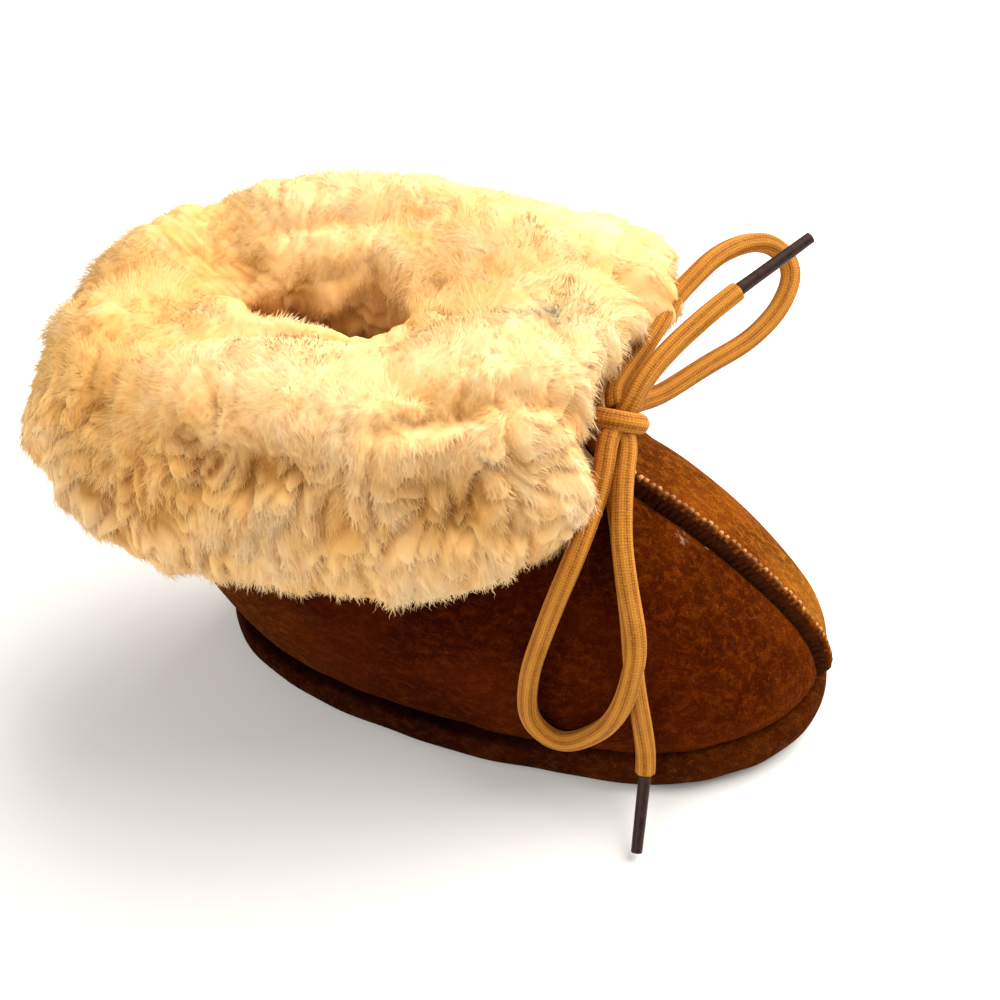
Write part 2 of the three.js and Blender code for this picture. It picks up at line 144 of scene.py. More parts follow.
# %% [markdown]
# ## Making a piece
# Every piece is a mesh made from arrays of points in millimetres. Arrays are quick, and they keep
# the shape in the same terms as the tables. A loft joins rings of points with quads, and can close
# its ends. Each piece then rides on the part's one body, and names the solid that it stands for.

# %% Pieces from arrays
UV_MAP = "OFBake"


def make_piece(name, points, quads, triangles=(), stands_for=(), uv=None):
    quads = np.asarray(quads, np.int32).reshape(-1, 4)
    triangles = np.asarray(triangles, np.int32).reshape(-1, 3)
    corners = np.concatenate([quads.ravel(), triangles.ravel()])
    mesh = bpy.data.meshes.new(name)
    mesh.vertices.add(len(points))
    mesh.vertices.foreach_set("co", (np.asarray(points) * MM).astype(np.float32).ravel())
    mesh.loops.add(len(corners))
    mesh.loops.foreach_set("vertex_index", corners)
    mesh.polygons.add(len(quads) + len(triangles))
    starts = np.concatenate([np.arange(len(quads)) * 4, quads.size + np.arange(len(triangles)) * 3])
    mesh.polygons.foreach_set("loop_start", starts)
    if uv is not None:
        layer = mesh.uv_layers.new(name=UV_MAP)
        layer.data.foreach_set("uv", np.asarray(uv, np.float32)[corners].ravel())
    mesh.update(calc_edges=True)
    mesh.validate()
    mesh.shade_smooth()
    piece = bpy.data.objects.new(name, mesh)
    bpy.context.scene.collection.objects.link(piece)
    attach(piece, "root")
    if stands_for:
        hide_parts(*stands_for)
    print(name, "has", 2 * len(quads) + len(triangles), "triangles")
    return piece


def loft_quads(rows, columns, wrap_rows=False, wrap_columns=True):
    """Corners of the quads of a grid of points that is numbered row by row."""
    i = np.arange(rows if wrap_rows else rows - 1)[:, None]
    j = np.arange(columns if wrap_columns else columns - 1)[None, :]
    low, up, on = i * columns, (i + 1) % rows * columns, (j + 1) % columns
    return np.stack([low + j, low + on, up + on, up + j], -1).reshape(-1, 4)


def end_fans(points, columns):
    """A middle point for the first and the last ring, and the triangles that close them."""
    count = len(points)
    first, last = np.arange(columns), np.arange(count - columns, count)
    middles = np.stack([points[first].mean(0), points[last].mean(0)])
    low = np.stack([np.roll(first, -1), first, np.full(columns, count)], -1)
    high = np.stack([last, np.roll(last, -1), np.full(columns, count + 1)], -1)
    return np.concatenate([points, middles]), np.concatenate([low, high])


print("a ring of 4 rows and 8 columns has", len(loft_quads(4, 8)), "quads")

# %% [markdown]
# ## The lace
# The lace is a round braided cord, 4.5 mm thick, with a few soft furrows along it. A curve with a
# round bevel would be quicker, but the braid shows against the light, so each stretch is a tube
# with the furrows and the crossing strands raised on it. The routes are the CAD part's own. Each
# stretch runs a little way into the knot, and its real length is kept with it.

# %% Lace routes
LACE = 4.5
LACE_ROUTES = {
    "lace_bar": [
        (9.5, -11.6, 80), (14.5, -10, 80), (18.2, -7, 80.3), (19.4, -3, 80.6),
        (19.4, 3, 80.6), (18.2, 7, 80.3), (14.5, 10, 80), (9.5, 11.6, 80),
    ],
    "lace_loop_near": [
        (25.2, -8, 83.8), (25.3, -11.4, 80.4), (25.1, -15.5, 76.2), (23, -27, 68.4),
        (18.9, -34.8, 55.6), (14.9, -39.4, 38.8), (15.2, -40.2, 25), (21.5, -39.4, 18),
        (30.1, -38.8, 24.4), (35, -39.7, 35.6), (36.6, -38.2, 42.8), (37.2, -34.6, 50),
        (33.6, -27.6, 61.8), (31.2, -21.9, 68.6), (29.2, -10.9, 78), (29, -6.6, 80.8),
    ],
    "lace_end_near": [
        (24, -5.2, 79.2), (25, -7.6, 74.4), (27.5, -11.2, 69), (31.2, -20.6, 60.8),
        (34.4, -28, 50.7), (36.6, -33.5, 38.5), (38.9, -36.2, 27), (40.2, -37.4, 18.4),
        (40.5, -38.5, 14.8), (40.6, -39.6, 13.4),
    ],
    "lace_loop_far": [
        (27.8, 2.6, 83.6), (31.5, 9, 80.8), (40.1, 22, 80.4), (48.1, 33, 80.8), (53.1, 42, 84.3),
        (54, 48, 89.4), (49.6, 50, 93.6), (44.8, 47, 96), (38.5, 40, 96.5), (34.8, 33, 95.4),
        (31.6, 26, 93.9), (28.6, 15, 90.9), (25.3, 6, 87.9), (24, 1.2, 86.9),
    ],
    "lace_end_far": [
        (28.5, -1.2, 87.2), (29.6, 2.6, 89.2), (32.7, 9, 91.8), (39.6, 21, 94.6), (44.6, 28, 96.4),
    ],
}
AGLET = 2.8
AGLET_ROUTES = {
    "aglet_near": [(40.65, -39.95, 13.05), (41.7, -53, 1.7)],
    "aglet_far": [(44.85, 28.4, 96.5), (57.7, 42, 102.4)],
}
KNOT = np.array((26.4, -3, 83.5))
CORD_EASE, FINE_STEPS = 2.2, 60
ASKEW = (0.2, 0.3, 1)  # a way that no stretch of the lace runs


def even_line(route, spacing):
    """The smooth line through a route, as points an even distance apart, and its length."""
    route = np.array(route, float)
    knots = run_along(steps_of(route) ** 0.5)
    fine = smooth_through(knots, route, np.linspace(0, knots[-1], FINE_STEPS * len(route)))
    run = run_along(steps_of(fine))
    even = np.linspace(0, run[-1], max(2, round(run[-1] / spacing)) + 1)
    line = np.stack([np.interp(even, run, fine[:, k]) for k in range(3)], -1)
    for _ in range(round(2 * (CORD_EASE / spacing) ** 2)):
        line[1:-1] += 0.25 * (line[2:] - 2 * line[1:-1] + line[:-2])
    return line, steps_of(line).sum()


def line_frames(line, closed=False):
    """The way along a line and two directions across it that turn as little as they can."""
    ahead = np.roll(line, -1, 0) - np.roll(line, 1, 0) if closed else np.gradient(line, axis=0)
    way = unit(ahead)
    side = np.empty_like(way)
    side[0] = unit(np.cross(way[0], ASKEW))
    for i in range(1, len(way)):
        side[i] = unit(side[i - 1] - way[i] * (side[i - 1] @ way[i]))
    return side, np.cross(way, side)


def all_round(side, other, turn):
    """Ways out from a line at each angle round it."""
    return side[:, None, :] * np.cos(turn)[..., None] + other[:, None, :] * np.sin(turn)[..., None]


for name, route in LACE_ROUTES.items():
    print(name, "is", round(even_line(route, 1)[1], 1), "mm long")

# %% The braided cord
CORD_SIDES, CORD_STEP, CORD_UV_LENGTH, INTO_KNOT = 28, 0.4, 250.0, 3.0
BRAID_STRANDS, BRAID_PITCH, BRAID_DEPTH, BRAID_MIDDLE = 7, 9.0, 0.015, 0.4
FURROWS, FURROW_DEPTH, FURROW_TWIST, FURROW_EASE = 6, 0.2, 0.012, 0.6
TICK_PITCH, YARNS = 1.15, 11


def braided(line, closed=False):
    """Rings of points round a line, with furrows along the cord and a braid of crossing strands."""
    side, other = line_frames(line, closed)
    turn = ring_angles(CORD_SIDES)[None, :]
    run = (np.arange(len(line)) * CORD_STEP)[:, None]
    slant = FULL_TURN * run / BRAID_PITCH * BRAID_STRANDS / 2
    braid = np.cos(BRAID_STRANDS * turn + slant) * np.cos(BRAID_STRANDS * turn - slant)
    furrow = np.abs(np.cos(FURROWS / 2 * (turn + FURROW_TWIST * run)))
    radius = LACE / 2 + BRAID_DEPTH * (braid - BRAID_MIDDLE) + FURROW_DEPTH * (furrow**FURROW_EASE - 1)
    rings = line[:, None, :] + all_round(side, other, turn) * radius[..., None]
    uv = np.stack([turn / FULL_TURN + 0 * run, run / CORD_UV_LENGTH + 0 * turn], -1)
    return rings.reshape(-1, 3), uv.reshape(-1, 2)


def into_knot(route, ends):
    """The route with the ends that are named carried on into the middle of the knot."""
    longer = [np.array(point, float) for point in route]
    if "start" in ends:
        longer.insert(0, longer[0] + unit(KNOT - longer[0]) * INTO_KNOT)
    if "end" in ends:
        longer.append(longer[-1] + unit(KNOT - longer[-1]) * INTO_KNOT)
    return longer


KNOT_ENDS = {
    "lace_bar": (), "lace_loop_near": ("start", "end"), "lace_end_near": ("start",),
    "lace_loop_far": ("start", "end"), "lace_end_far": ("start",),
}


def make_cord(name):
    line, length = even_line(into_knot(LACE_ROUTES[name], KNOT_ENDS[name]), CORD_STEP)
    points, uv = braided(line)
    points, caps = end_fans(points, CORD_SIDES)
    uv = np.concatenate([uv, uv[:1], uv[-1:]])
    quads = loft_quads(len(line), CORD_SIDES)
    cord = make_piece(name + "_cord", points, quads, caps, (name,), uv)
    return cord, line, length


cords = {name: make_cord(name) for name in LACE_ROUTES}

# %% [markdown]
# ## The knot
# The bow is held by one turn of the same cord round the strands. A torus would be too even, so the
# turn is an oval ring that is set a little aslant, with the same braid.

# %% Knot
KNOT_AXIS = unit(np.array((0.11, 0.81, 0.59)))
KNOT_FRONT = unit(np.array((0.64, -0.515, 0.571)))
KNOT_SIDE = np.cross(KNOT_AXIS, KNOT_FRONT)
KNOT_WIDE, KNOT_DEEP, KNOT_SLANT, KNOT_TURN, KNOT_STEPS = 4.3, 3.0, 0.9, 0.4, 400


def make_knot():
    turn = ring_angles(KNOT_STEPS)[:, None]
    ring = KNOT + KNOT_SIDE * np.cos(turn) * KNOT_WIDE + KNOT_FRONT * np.sin(turn) * KNOT_DEEP
    ring = ring + KNOT_AXIS * np.cos(turn + KNOT_TURN) * KNOT_SLANT
    length = np.linalg.norm(ring - np.roll(ring, 1, 0), axis=1).sum()
    line = ring[np.linspace(0, KNOT_STEPS, round(length / CORD_STEP), endpoint=False).astype(int)]
    points, uv = braided(line, closed=True)
    quads = loft_quads(len(line), CORD_SIDES, wrap_rows=True)
    return make_piece("lace_knot_turn", points, quads, (), ("lace_knot",), uv)


knot = make_knot()

# %% [markdown]
# ## The lace tips
# Each end is held by a sleeve of dark plastic that was shrunk on to the cord: a slim tube that
# narrows a little, with a soft shoulder at the cord and a cut end. It is turned like a spindle
# from a short table of places along it.

# %% Lace tips
AGLET_PROFILE = [
    (-0.04, 0.55), (-0.03, 0.9), (0.0, 1.04), (0.06, 1.03), (0.2, 0.99),
    (0.5, 0.97), (0.8, 0.93), (0.97, 0.9), (0.995, 0.84), (1.0, 0.7),
]
AGLET_SIDES, AGLET_STEPS = 24, 46
LAP_DEPTH, LAP_ANGLE, LAP_REACH = 0.05, 2.2, 0.25


def make_aglet(name):
    start, end = (np.array(point) for point in AGLET_ROUTES[name])
    places = np.array(AGLET_PROFILE)
    finer = smooth_through(np.arange(len(places)), places, np.linspace(0, len(places) - 1, AGLET_STEPS))
    line = start + (end - start) * finer[:, :1]
    way = np.broadcast_to(unit(end - start), line.shape)
    side = unit(np.cross(way, ASKEW))
    turn = ring_angles(AGLET_SIDES)
    radius = AGLET / 2 * finer[:, 1:] * (1 - LAP_DEPTH * hump(turn, LAP_ANGLE, LAP_REACH))[None, :]
    rings = line[:, None, :] + all_round(side, np.cross(way, side), turn) * radius[..., None]
    points, caps = end_fans(rings.reshape(-1, 3), AGLET_SIDES)
    quads = loft_quads(len(line), AGLET_SIDES)
    return make_piece(name + "_sleeve", points, quads, caps, (name,))


aglets = {name: make_aglet(name) for name in AGLET_ROUTES}

# %% [markdown]
# ## The stretches that hang free
# Two loops and two ends of the lace hang free. The loops end back in the knot, and each end
# carries its tip. The bar at the throat is held at both ends.

# %% [markdown]
# ## The upper
# Two panels of suede meet in a raised seam down the middle of the foot. The outside is a stack of
# blunt ovals, one for each height, smoothed between the rows of the table. The wall is 2.2 mm
# thick, and a narrow V opens its front at the collar. A sculpted or simulated upper would lose the
# shape of the last, so the creases are pressed in as soft troughs.

# %% The ovals of the upper
ROW_KEYS = ("z", "toe", "heel", "half", "wide", "toe_blunt", "heel_blunt", "seam")
UPPER_ROWS = np.array([
    (9.6, 73, -73.4, 34.6, 12, 2.4, 2.3, 0),
    (13, 74.2, -75.2, 36, 10, 2.35, 2.3, 0.6),
    (19, 73.6, -78, 37, 7, 2.25, 2.3, 1),
    (26, 71, -80.6, 37.6, 3, 2.15, 2.3, 1),
    (34, 66, -82.8, 37.8, -2, 2.1, 2.3, 1),
    (42, 59.2, -84.6, 37.6, -8, 2.05, 2.3, 1),
    (50, 50.8, -85.8, 37, -15, 2, 2.3, 1),
    (57.5, 41.6, -86.4, 36.2, -21, 1.95, 2.3, 1),
    (64.5, 31.6, -86.6, 35.6, -27, 1.95, 2.3, 1),
    (71, 23, -86.6, 35.2, -31, 1.95, 2.3, 0.6),
    (80, 16.6, -86.6, 35, -34, 2, 2.3, 0),
    (94, 13, -86.6, 35, -36, 2, 2.3, 0),
])
UPPER_LOW, UPPER_TOP = UPPER_ROWS[0, 0], UPPER_ROWS[-1, 0]
WALL, SEAM_HEIGHT = 2.2, 2.7
TOE_SPRING, SPRING_START, SPRING_FADE, TOE_X = 4.0, 32.0, 30.0, 75.0


def upper_row(z):
    read = smooth_through(UPPER_ROWS[:, 0], UPPER_ROWS, np.clip(z, UPPER_LOW, UPPER_TOP))
    return dict(zip(ROW_KEYS, read.T))


def oval(row, angle, grow=0.0):
    """Points of a blunt oval: two superellipse halves that meet at their widest place."""
    c, s = np.cos(angle), np.sin(angle)
    power = np.where(c >= 0, row["toe_blunt"], row["heel_blunt"])
    reach = np.where(c >= 0, row["toe"] - row["wide"], row["wide"] - row["heel"]) + grow
    x = row["wide"] + np.sign(c) * reach * np.abs(c) ** (2 / power)
    return x, (row["half"] + grow) * np.sign(s) * np.abs(s) ** (2 / power)


def spring(x):
    return TOE_SPRING * (np.maximum(0, x - SPRING_START) / (TOE_X - SPRING_START)) ** 2


def upper_spring(x, z):
    """How far the toe's spring lifts the upper: less, the higher up it is."""
    return np.clip(1 - (z - UPPER_LOW) / SPRING_FADE, 0, 1) * spring(x)


print("at 40 mm up, the upper is", (2 * upper_row(np.array([40.0]))["half"][0]).round(1), "mm wide")

# %% The shape of the seam and of the creases
# The far panel swells up to the seam; on the near side its edge falls steeply into a groove. The
# seam lies a few millimetres to the near side of the middle.
SEAM_ACROSS = [-5.4, -4.2, -3.2, -2.5, -2.1, -1.7, -1.3, -0.9, -0.3, 0.3, 1.0, 2.0, 3.4, 5.5, 9]
SEAM_RISE = [0, -0.03, -0.12, -0.3, -0.34, -0.1, 0.62, 0.95, 1.05, 1.02, 0.9, 0.68, 0.42, 0.15, 0]
SEAM_SIDE_RUNS, SEAM_SIDE = [0, 45, 75, 115], [-2.8, -2.7, -2.9, -4.2]
SEAM_WALL, SEAM_STEPS = (-2.6, -0.95), 400
STITCH_PITCH, STITCH_PINCH = 1.7, 0.2
# Each crease: points on the upper in millimetres, its depth, and its half width.
CREASES = [
    ([(22, -19, 67), (31, -27, 52), (33, -34, 38)], 0.9, 4.0),
    ([(14, -27, 64), (17, -34, 48), (12, -38, 34)], 0.7, 4.5),
    ([(22, 19, 67), (32, 27, 52), (36, 33, 36)], 0.9, 4.0),
    ([(-8, -37, 54), (-26, -38, 40), (-50, -37, 31)], 0.7, 5.0),
    ([(-8, 37, 54), (-28, 38, 40), (-52, 37, 32)], 0.7, 5.0),
    ([(-78, -20, 24), (-85, 0, 30), (-79, 20, 26)], 0.6, 4.5),
    ([(55, -20, 33), (64, -22, 24), (66, -26, 17)], 0.45, 3.5),
    ([(50, 24, 30), (60, 24, 22), (63, 26, 16)], 0.4, 3.5),
]


def trough(points, route, depth, half_width):
    route = np.array(route, float)
    nearest = np.full(len(points), np.inf)
    for start, end in zip(route[:-1], route[1:]):
        way = end - start
        share = np.clip((points - start) @ way / (way @ way), 0, 1)
        nearest = np.minimum(nearest, np.linalg.norm(points - start - share[:, None] * way, axis=1))
    return -depth * hump(nearest, 0, half_width)


def front_line():
    """The seam's line down the front: points, ways out, run, share of the height, and spring."""
    z = np.linspace(UPPER_TOP, UPPER_LOW, SEAM_STEPS)
    row = upper_row(z)
    lifted = upper_spring(row["toe"], z)
    line = np.stack([row["toe"], 0 * z, z + lifted], -1)
    way = unit(np.gradient(line, axis=0))
    out = np.stack([-way[:, 2], 0 * z, way[:, 0]], -1)
    return line, out, run_along(steps_of(line)), row["seam"], lifted


seam_line, seam_out, seam_run, seam_share, seam_spring = front_line()
print("the seam is", seam_run[-1].round(1), "mm long, with stitches every", STITCH_PITCH, "mm")

# %% The two faces of the wall
UPPER_HEIGHTS, SIDE_COLUMNS = 84, 200
FRONT_STRIP = np.arange(0, 10.6, 0.25)
THROAT_FOOT, THROAT_HALF, THROAT_TOP = 71.0, 6.0, 96.0
THROAT_FROM, THROAT_FADE, FRONT_FROM, SEAM_FROM, RIDGE_FROM = 0.9, 0.09, 0.3, 0.3, 0.5
# Height, size and seed of the skin's unevenness, and of the gathers at its lower edge.
SKIN_WAVES, GATHER_WAVE = ((0.45, 26, 11), (0.18, 9, 12)), (0.35, 6, 13)
GATHER_HEIGHT, GATHER_UPRIGHT = 7.0, 0.3


def upper_grid(inset):
    """Points of one face of the wall, row by row, from the far side's front round to the near one's."""
    z = np.linspace(UPPER_LOW, UPPER_TOP, UPPER_HEIGHTS)
    row = {key: value[:, None] for key, value in upper_row(z).items()}
    strip = np.arcsin((FRONT_STRIP[None, :] / row["half"]) ** (row["toe_blunt"] / 2))
    edge = strip[:, -1:]
    shares = (np.arange(1, SIDE_COLUMNS + 1) / (SIDE_COLUMNS + 1))[None, :]
    sides = edge + (FULL_TURN - 2 * edge) * shares
    angle = np.concatenate([strip, sides, FULL_TURN - strip[:, ::-1]], axis=1)
    x, y = oval(row, angle, -inset)
    open_by = THROAT_HALF * climb(row["z"], THROAT_FOOT, THROAT_TOP - THROAT_FOOT)
    far = (np.arange(angle.shape[1]) < angle.shape[1] / 2)[None, :]
    y = y + np.where(far, open_by, -open_by) * climb(np.cos(angle), THROAT_FROM, THROAT_FADE)
    points = np.stack([x, y, row["z"] + upper_spring(x, row["z"])], -1)
    return points, row["seam"] + 0 * x, np.cos(angle) > FRONT_FROM


def upper_outside():
    grid, seam, front = upper_grid(0)
    out = unit(np.cross(np.gradient(grid, axis=1), np.gradient(grid, axis=0)))
    points = grid.reshape(-1, 3)
    run = np.interp(grid[..., 2], seam_line[::-1, 2], seam_run[::-1])
    from_seam = grid[..., 1] - np.interp(run, SEAM_SIDE_RUNS, SEAM_SIDE)
    across = np.interp(from_seam, SEAM_ACROSS, SEAM_RISE)
    waist = 0.5 + 0.5 * np.cos(FULL_TURN * run / STITCH_PITCH)
    pinch = 1 - STITCH_PINCH * waist * (across > RIDGE_FROM)
    height = np.where(front, across * pinch * SEAM_HEIGHT * np.clip(seam, 0, 1), 0)
    for crease in CREASES:
        height += trough(points, *crease).reshape(height.shape)
    skin = sum(rise * lumps(points, size, seed) for rise, size, seed in SKIN_WAVES)
    height += skin.reshape(height.shape)
    rise, size, seed = GATHER_WAVE
    gather = np.clip(1 - (points[:, 2] - UPPER_LOW) / GATHER_HEIGHT, 0, 1)
    gathers = rise * gather * lumps(points * (1, 1, GATHER_UPRIGHT), size, seed)
    height += gathers.reshape(height.shape)
    wall = front & (from_seam > SEAM_WALL[0]) & (from_seam < SEAM_WALL[1]) & (seam > SEAM_FROM)
    return grid + out * height[..., None], wall


outside, wall = upper_outside()
inside = upper_grid(WALL)[0]
print("each face of the wall has", outside.shape[0], "rows of", outside.shape[1], "points")

# %% Upper mesh


def make_upper():
    rows, columns = outside.shape[:2]
    points = np.concatenate([outside, inside[::-1]]).reshape(-1, 3)
    quads = loft_quads(2 * rows, columns, wrap_rows=True, wrap_columns=False)
    level = np.arange(rows - 1)
    mirror = 2 * rows - 1 - level
    edge = np.stack([level, level + 1, mirror - 1, mirror], -1) * columns
    opened = outside[1:, 0, 2] > THROAT_FOOT
    caps = np.concatenate([edge[opened], edge[opened][:, ::-1] + columns - 1])
    weld = np.arange(len(points)).reshape(2 * rows, columns)
    shut = np.concatenate([outside[:, 0, 2], inside[::-1, 0, 2]]) <= THROAT_FOOT
    weld[shut, -1] = weld[shut, 0]
    quads = weld.ravel()[np.concatenate([quads, caps])]
    used, quads = np.unique(quads, return_inverse=True)
    upper = make_piece("upper_suede", points[used], quads.reshape(-1, 4), (), ("upper",))
    band = np.arange((2 * rows) * (columns - 1)) // (columns - 1)
    finish = np.zeros(len(upper.data.polygons), np.int32)
    finish[: len(band)] = (band >= rows) & (band < 2 * rows - 1)
    # The steep near wall of the seam takes the third finish, a darker suede that is painted shade.
    shaded = (wall[:-1, :-1] & wall[:-1, 1:]).ravel()
    finish[: len(shaded)] += 2 * shaded
    upper.data.polygons.foreach_set("material_index", finish)
    return upper


upper = make_upper()

# %% [markdown]
# ## The overcast stitches
# A thread is whipped over the seam's edge, slantwise, about every 1.7 mm, and pulls the edge in a
# little. The pull is already in the upper's shape. Each stitch is a short bent tube that lies on
# the seam, and all of them are one mesh.

# %% Stitches on the seam
THREAD_RADIUS, STITCH_SLANT, STITCH_SIDES = 0.52, 0.55, 8
STITCH_ACROSS = np.linspace(-1.8, 0.7, 11)
STITCH_TOP, STITCH_END = 70.0, 2.5
STITCH_SINK, STITCH_MIDDLE, STITCH_REACH = 0.7, -0.55, 1.25
# How stitches differ in slant, place along the seam and across it, depth and thickness.
SLANTS, SHIFTS, OFFSETS = (0.8, 1.3), (-0.15, 0.15), (-0.2, 0.2)
DEPTHS, THICKNESSES = (0.08, 0.28), (0.8, 1.2)


def seam_point(run, across, lift):
    """A place on the seam's raised surface, by its run along the seam and its way across it."""
    level = np.interp(run, seam_run, seam_line[:, 2])
    sprung = np.interp(run, seam_run, seam_spring)
    row = upper_row(level - sprung)
    y = across + np.interp(run, SEAM_SIDE_RUNS, SEAM_SIDE)
    ahead = (1 - (np.abs(y) / row["half"]) ** row["toe_blunt"]) ** (1 / row["toe_blunt"])
    line = np.stack([row["wide"] + (row["toe"] - row["wide"]) * ahead, y, level], -1)
    out = unit(np.stack([np.interp(run, seam_run, seam_out[:, k]) for k in range(3)], -1))
    rise = np.interp(across, SEAM_ACROSS, SEAM_RISE) * SEAM_HEIGHT
    rise = rise * np.interp(run, seam_run, seam_share)
    return line + out * (rise + lift)[..., None]


def make_stitches():
    rng = np.random.default_rng(5)
    first = np.interp(-STITCH_TOP, -seam_line[:, 2], seam_run)
    made, count = [], 0
    sink = -STITCH_SINK * (np.abs((STITCH_ACROSS - STITCH_MIDDLE) / STITCH_REACH) ** 6)
    along = np.concatenate([np.repeat(np.linspace(0, 1, len(STITCH_ACROSS)), STITCH_SIDES), (0, 1)])
    for place in np.arange(first, seam_run[-1] - STITCH_END, STITCH_PITCH):
        slant = STITCH_SLANT * rng.uniform(*SLANTS)
        run = place + rng.uniform(*SHIFTS) + STITCH_ACROSS * slant
        line = seam_point(run, STITCH_ACROSS + rng.uniform(*OFFSETS), sink - rng.uniform(*DEPTHS))
        thick = THREAD_RADIUS * rng.uniform(*THICKNESSES)
        rings = line[:, None, :] + thick * all_round(*line_frames(line), ring_angles(STITCH_SIDES))
        points, caps = end_fans(rings.reshape(-1, 3), STITCH_SIDES)
        uv = np.stack([np.full(len(points), rng.uniform(0, 1)), along], -1)
        made.append((points, loft_quads(len(line), STITCH_SIDES) + count, caps + count, uv))
        count += len(points)
    points, quads, caps, uv = (np.concatenate(each) for each in zip(*made))
    return make_piece("seam_stitches", points, quads, caps, uv=uv)


stitches = make_stitches()

# %% [markdown]
# ## The sole
# The sole is soft and flat: a pad of suede, wrapped round its edge by a band of the same suede
# that is turned in at the top and leaves a dark groove under the upper, darkened further by painted
# shade on the band's top. Both are lofted from the sole's outline, a blunt oval. The band is a little
# uneven, as a hand-pulled edge is.

# %% Sole, band and footbed
SOLE = {"toe": 75, "heel": -75, "half": 36.6, "wide": 12, "toe_blunt": 2.4, "heel_blunt": 2.3}
TREAD = {"toe": 36, "heel": -64, "half": 26, "wide": 2, "toe_blunt": 2.3, "heel_blunt": 2.5}
FOOTBED = {**TREAD, "toe": 34}
RAND_TOP, RAND_DEPTH, GAP, INSOLE_THICKNESS = 9.2, 5.0, 0.3, 4.0
RAND_SECTION = np.array([
    (-4.7, 0.4), (-2.6, 0.2), (-0.8, 0.25), (0.5, 1.6), (1.0, 4.4),
    (0.5, 7.1), (-1.2, 8.8), (-3, 9.2), (-4.7, 9.1),
])
RAND_STEPS, SOLE_COLUMNS, RAND_LOWEST, RAND_PROUD = 34, 260, 0.1, 3.0
RAND_WAVES = ((0.35, 0.4, 15, 21), (0.22, 0.5, 6, 22))  # height, stretch upright, size and seed
INSOLE_EDGE = dict(zip(ROW_KEYS, UPPER_ROWS[0]))


def sole_ring(row, z, grow=0.0, sprung=True):
    x, y = oval(row, ring_angles(SOLE_COLUMNS), grow)
    return np.stack([x, y, z + (spring(x) if sprung else 0 * x)], -1)


def make_rand():
    count = len(RAND_SECTION)
    section = smooth_through(np.arange(count), RAND_SECTION, np.linspace(0, count - 1, RAND_STEPS))
    rings = np.stack([sole_ring(SOLE, z, out) for out, z in section])
    proud = climb(section[:, 0], -RAND_PROUD, RAND_PROUD)[:, None]
    flat = rings.reshape(-1, 3)
    swell = sum(
        rise * lumps(flat * (1, 1, upright), size, seed) for rise, upright, size, seed in RAND_WAVES
    )
    out = unit(rings * (1, 1, 0) - np.array((SOLE["wide"] * 0.5, 0, 0)))
    rings = rings + out * (proud * swell.reshape(rings.shape[:2]))[..., None]
    rings[..., 2] = np.maximum(rings[..., 2], RAND_LOWEST)
    quads = loft_quads(len(section), SOLE_COLUMNS, wrap_rows=True)
    return make_piece("rand_band", rings.reshape(-1, 3), quads, (), ("rand",))


def make_pad(name, rings, node):
    points, caps = end_fans(np.concatenate(rings), SOLE_COLUMNS)
    return make_piece(name, points, loft_quads(len(rings), SOLE_COLUMNS), caps, (node,))


rand = make_rand()
sole = make_pad("sole_pad", [
    sole_ring(TREAD, 0, sprung=False), sole_ring(SOLE, 0.25, -6.2), sole_ring(SOLE, 0.7, -5.4),
    sole_ring(SOLE, 1.4, -RAND_DEPTH), sole_ring(SOLE, RAND_TOP - 1.4, -RAND_DEPTH),
    sole_ring(SOLE, RAND_TOP - 0.6, -5.6), sole_ring(FOOTBED, RAND_TOP - 0.6, sprung=False),
], "outsole")
footbed = make_pad("footbed_pad", [
    sole_ring(FOOTBED, RAND_TOP - GAP, sprung=False), sole_ring(INSOLE_EDGE, RAND_TOP + GAP, -3.2),
    sole_ring(INSOLE_EDGE, RAND_TOP + 1, -2.8), sole_ring(INSOLE_EDGE, RAND_TOP + 2.8, -2.8),
    sole_ring(INSOLE_EDGE, RAND_TOP + 3.6, -3.6),
    sole_ring(FOOTBED, RAND_TOP + INSOLE_THICKNESS, sprung=False),
], "insole")

# %% [markdown]
# ## The fleece cuff
# The cuff is the sheepskin itself, turned down with its wool outside, so it is thick and deep.
# Hair particles would look right here but would not go into the exported model. So the wool is
# made in two layers, both meshes: a body in the shape of the pile, with its rounded tufts, and
# over it thousands of narrow ribbons, a few fibres each, that make it soft. First comes the roll,
# as a section that is carried round the ankle. At the throat its two ends meet and it is thin.

# %% The roll of the cuff
# Each row of the section: the way out from the collar, the height, and the share of the swell.
CUFF_SECTION = np.array([
    (0, 72, 0), (6, 67, 0.5), (12, 67, 0.9), (16, 73, 1), (17, 82, 1), (14.5, 93, 0.8), (8.5, 102, 0.4),
    (0, 106, 0), (-9, 104.5, 0), (-16, 98, 0), (-18, 88, 0), (-13, 78, 0), (-5, 75, 0),
])
LAST_PLACE, SIDE_PLACE = len(CUFF_SECTION) - 1.0, 4.0
CUFF_HEEL_SWELL, CUFF_FRONT_SWELL, CUFF_HEEL_DROP, CUFF_FRONT_LIFT = 0.24, 0.34, 6.0, 5.0
CUFF_ROLL_Z, CUFF_HANG, DROP_FROM, DROP_FADE = 102.0, 40.0, -18.0, 5.0
CUFF_END_ANGLES = (0.0, 0.12, 0.22, 0.32, 0.45, 0.64)
CUFF_END_SHARES = (0.14, 0.2, 0.36, 0.58, 0.84, 1.0)
CUFF_TOP_SHARES = (0.66, 0.7, 0.76, 0.84, 0.94, 1.0)
COLLAR = dict(zip(ROW_KEYS, UPPER_ROWS[-1]))
COLLAR_CLEAR, WOOL_CLEAR, NEXT_ANGLE = 2.9, 0.5, 0.02
THIN_LOW, THIN_NEAR, THIN_FAR, THIN_FADE, TOP_EASE = 80.0, 91.0, 87.0, 8.0, 0.4
